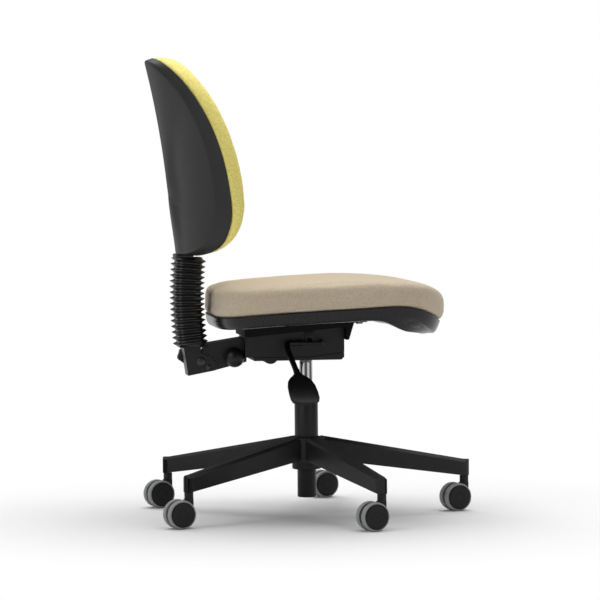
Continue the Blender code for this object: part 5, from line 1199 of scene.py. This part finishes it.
def back_ring(share, depth, spread=0.0, inset=0.0):
    """Ring of the back's outline. A spread carries its head and foot out, and an inset draws it in."""
    half_width = BACK_HALF_WIDTH - inset
    above = BACK_TOP - BACK_WAIST - inset
    below = BACK_WAIST - BACK_BOTTOM - inset
    ring = []
    for i in range(RING_POINTS):
        turn = tau * (i + 0.5) / RING_POINTS
        upper = sin(turn) > 0
        power = 2 / (BACK_TOP_ROUNDNESS if upper else BACK_BOTTOM_ROUNDNESS)
        reach = share + (1 - share) * spread * sin(turn) ** 4
        x = half_width * signed_power(cos(turn), power) * reach
        z = BACK_WAIST + (above if upper else below) * signed_power(sin(turn), power) * reach
        ring.append((x, depth(x, z), z))
    return ring


def back_rings(shares, depth, inset=0.0):
    pole = [(0, depth(0, BACK_WAIST), BACK_WAIST)] * RING_POINTS
    return [back_ring(share, depth, 0.0, inset) if share else pole for share in shares]


def shell_rear(x, z):
    """Rear face of the shell, wrapped round the sitter. Its spine spreads out above the waist."""
    width = SPINE_BULGE_WIDTH + SPINE_SPREAD * smoothstep((z - SPINE_SPREAD_START) / SPINE_SPREAD_LENGTH)
    if z > BACK_WAIST:
        flat = SPINE_FLAT_ABOVE * (z - BACK_WAIST) / (BACK_TOP - BACK_WAIST)
    else:
        flat = SPINE_FLAT_BELOW * (BACK_WAIST - z) / (BACK_WAIST - BACK_BOTTOM)
    bulge = SPINE_BULGE * (1 - exp(-(flat / SPINE_FLAT_WIDTH) ** 2 - (x / width) ** 4))
    flare = SHELL_FLARE * (z - BACK_BOTTOM - SHELL_FLARE_RISE) ** 2 - SHELL_DIP
    return spine(z) + flare - bulge - WRAP_DEPTH * (abs(x) / WRAP_HALF_WIDTH) ** WRAP_POWER


def back_seam(x, z):
    """Line where the shell meets the pad, which comes forward at the foot of the back."""
    foot = SEAM_FOOT * smoothstep((BACK_BOTTOM + SEAM_FOOT_HEIGHT - z) / SEAM_FOOT_HEIGHT)
    return spine(z) - SEAM_DEPTH - foot - SEAM_WRAP * (abs(x) / BACK_HALF_WIDTH) ** WRAP_POWER


def board_rear(x, z):
    return spine(z) - BOARD_DEPTH - BOARD_WRAP * (x / BOARD_WRAP_WIDTH) ** 2


def back_front(x, z):
    """Front face of the back pad, fullest at the sitter's waist."""
    rise = z - BACK_BOTTOM - BULGE_RISE
    fall = (BULGE_FALL_UP if rise > 0 else BULGE_FALL_DOWN) * rise ** 2
    return spine(z) - BACK_PAD_DEPTH + fall - BACK_PAD_WRAP * (x / BACK_HALF_WIDTH) ** 2


def ahead(depth, distance):
    return lambda x, z: depth(x, z) - distance


def between(first, second, share):
    return lambda x, z: first(x, z) + (second(x, z) - first(x, z)) * share


def make_back_shell():
    inner_face = ahead(shell_rear, SHELL_WALL)
    outside = back_rings(SHELL_SHARES, shell_rear) + [
        back_ring(SHELL_RIDGE - 0.018, shell_rear, SHELL_SPREAD - 0.25),
        back_ring(SHELL_RIDGE, shell_rear, SHELL_SPREAD),
        back_ring(SHELL_RIDGE + 0.016, between(shell_rear, back_seam, 0.13), SHELL_SPREAD + 0.07),
        back_ring(SHELL_EDGE, between(shell_rear, back_seam, SHELL_EDGE_WRAP), SHELL_SPREAD),
        back_ring(0.997, between(shell_rear, back_seam, 0.95)), back_ring(1.0, back_seam)]
    inner_edge = between(inner_face, back_seam, SHELL_EDGE_WRAP)
    inside = [back_ring(1.0, back_seam, inset=SHELL_RIM),
              back_ring(SHELL_EDGE, inner_edge, SHELL_SPREAD / 2, SHELL_WALL),
              back_ring(SHELL_RIDGE, inner_face, SHELL_SPREAD / 2, SHELL_WALL)]
    rings = outside + inside + back_rings(SHELL_SHARES[::-1], inner_face)
    shell = piece("back_moulding", drawn_out(rings), POLYPROPYLENE, BACK_BODY, "charcoal_plastic",
                  ["back_shell"])
    smooth(shell, 2)
    middle = board_rear(0, BACK_BOTTOM) + 0.004
    carve(shell, brick((-SLOT_HALF_WIDTH, middle - 0.016, BACK_BOTTOM - 0.006),
                       (SLOT_HALF_WIDTH, middle + 0.012, BACK_BOTTOM + 0.045)))


def make_back_pad():
    seam = ahead(back_seam, SOFT_GAP)
    rear = back_rings(BACK_REAR_SHARES, ahead(board_rear, BACK_BOARD_THICKNESS + SOFT_GAP))
    wrap = back_rings((0.955, 1.0), seam)
    face = ahead(back_front, -PAD_START)
    side = [back_ring(share, between(seam, face, rise), inset=PAD_START * smoothstep(3 * rise))
            for share, rise in BACK_SIDE]
    front = back_rings(BACK_FRONT_SHARES, face, PAD_START)
    pad = piece("back_pad", drawn_out(rear + wrap + side + front), STRAW_CREPE, BACK_BODY, "yellow_cloth",
                ["back_cushion"], ALL_SMOOTH)
    smooth(pad, 2)
    upholster(pad, lambda p: p.y > back_seam(p.x, p.z) - HELD_MARGIN)


# Solids that keep their own shape

KEPT = {name: ZINC for name in ("piston_rod", "retaining_clip", "thrust_bearing", "valve_button",
                                "bolt_plate", "bar_clamp")}
KEPT.update({f"castor_stem_{number}": ZINC for number in range(1, ARM_COUNT + 1)})
KEPT.update({"spring_toe": POWDER_COAT, "seat_board": PLYWOOD, "back_board": PLYWOOD})


def dress_kept_solids():
    for name, finish in KEPT.items():
        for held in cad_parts[name].material_slots:
            held.material = finish


# Floor, light and camera

FLOOR_SIZE = 60.0
NEAR_FLOOR = 0.39
FAR_FLOOR = 0.98
PAPER_EDGE = 6.0
WHITE = (1, 1, 1, 1)


def ray_kinds(tree):
    """Whether a ray sees a thing directly or through glass, and whether it sees it mirrored."""
    rays = add(tree, "LightPath").outputs
    direct = calculated(tree, "MAXIMUM", rays["Is Camera Ray"], rays["Is Transmission Ray"])
    return direct, rays["Is Glossy Ray"]


def make_floor():
    """Pale paper floor that keeps the shadow near the chair and fades to plain white further out.

    Shiny surfaces see the white paper only as far as its edge.
    """
    material, tree, shader = new_finish("white_paper_floor", Roughness=1.0, Base_Color=linear("#FBFBFB"),
                                        Specular_IOR_Level=0.0)
    reach = add(tree, "VectorMath", {0: own_place(tree)}, operation="LENGTH").outputs["Value"]
    fade = ranged(tree, reach, 0.0, 1.0, NEAR_FLOOR, FAR_FLOOR, interpolation_type="SMOOTHSTEP")
    direct, glossy = ray_kinds(tree)
    paper = ranged(tree, reach, 1.0, 0.0, PAPER_EDGE, 2 * PAPER_EDGE)
    seen = calculated(tree, "MAXIMUM", direct, calculated(tree, "MULTIPLY", glossy, paper))
    share = calculated(tree, "MULTIPLY", fade, seen)
    glow = add(tree, "Emission", {"Color": WHITE, "Strength": 1.0}).outputs["Emission"]
    mix = add(tree, "MixShader", {0: share, 1: shader.outputs["BSDF"], 2: glow})
    feed(tree, tree.nodes["Material Output"], {"Surface": mix.outputs["Shader"]})
    bm = bmesh.new()
    bmesh.ops.create_grid(bm, x_segments=1, y_segments=1, size=FLOOR_SIZE)
    mesh = meshed("floor", bm)
    mesh.materials.append(material)
    floor = placed("floor", mesh)


WORLD_LEVEL = 0.285
SOFT_BOXES = 4
SOFT_BOX_TURN = -0.98
DARK_GAP = 0.12
BOX_LEVEL = 0.75
BOX_EDGES = (-0.4, 0.8)
LIGHT_AIM = Vector((0, 0, 0.5))
PANELS = (("overhead_panel", (0.7, -0.15, 3.0), 3.0, 75.0), ("rear_panel", (-1.6, 2.8, 2.0), 2.0, 20.0),
          ("front_panel", (-1.1, -1.8, 3.1), 2.0, 14.0))


def make_light():
    """White surroundings and large soft panels, at a level where colours render as they are written.

    Shiny metal sees the surroundings as upright soft boxes with darker gaps between them.
    """
    scene = bpy.context.scene
    scene.view_settings.view_transform = "Standard"
    world = bpy.data.worlds.new("white_studio")
    world.use_nodes = True
    tree = world.node_tree
    direct, glossy = ray_kinds(tree)
    way = add(tree, "SeparateXYZ", {"Vector": add(tree, "TexCoord").outputs["Generated"]}).outputs
    turn = calculated(tree, "ARCTAN2", way["Y"], way["X"])
    wave = calculated(tree, "SINE", calculated(tree, "MULTIPLY_ADD", turn, SOFT_BOXES, SOFT_BOX_TURN))
    boxes = ranged(tree, wave, DARK_GAP, BOX_LEVEL, *BOX_EDGES, interpolation_type="SMOOTHSTEP")
    level = ranged(tree, direct, WORLD_LEVEL, 1.0, 0.0, 1.0)
    shown = add(tree, "Mix", {0: glossy, 2: level, 3: boxes}).outputs[0]
    feed(tree, tree.nodes["Background"], {"Color": WHITE, "Strength": shown})
    scene.world = world
    for name, place, size, power in PANELS:
        light = bpy.data.lights.new(name, "AREA")
        light.shape = "SQUARE"
        light.size = size
        light.energy = power
        lamp = placed(name, light)
        lamp.location = place
        lamp.rotation_euler = (Vector(place) - LIGHT_AIM).to_track_quat("Z", "Y").to_euler()


CAMERA_AZIMUTH = radians(261.53)
CAMERA_ELEVATION = radians(2.82)
CAMERA_DISTANCE = 6.9618
CAMERA_AIM = Vector((0, 0.0113, 0.4581))
CAMERA_ROLL = -0.0088
LENS = 195.9
SENSOR_WIDTH = 36.0


def make_camera():
    data = bpy.data.cameras.new("camera")
    data.sensor_width = SENSOR_WIDTH
    data.sensor_fit = "HORIZONTAL"
    data.lens = LENS
    level = cos(CAMERA_ELEVATION)
    back = Vector((sin(CAMERA_AZIMUTH) * level, -cos(CAMERA_AZIMUTH) * level, sin(CAMERA_ELEVATION)))
    camera = placed("camera", data)
    camera.location = CAMERA_AIM + back * CAMERA_DISTANCE
    camera.rotation_mode = "QUATERNION"
    camera.rotation_quaternion = back.to_track_quat("Z", "Y") @ Quaternion((0, 0, 1), CAMERA_ROLL)
    bpy.context.scene.camera = camera


make_camera()
make_floor()
make_light()
make_base()
make_column()
for castor in range(1, ARM_COUNT + 1):
    make_castor(castor)
make_mechanism()
make_knobs()
make_pins()
make_recline_spring()
make_lever()
make_bellows()
make_seat_pan()
make_seat_pad()
make_back_shell()
make_back_pad()
dress_kept_solids()
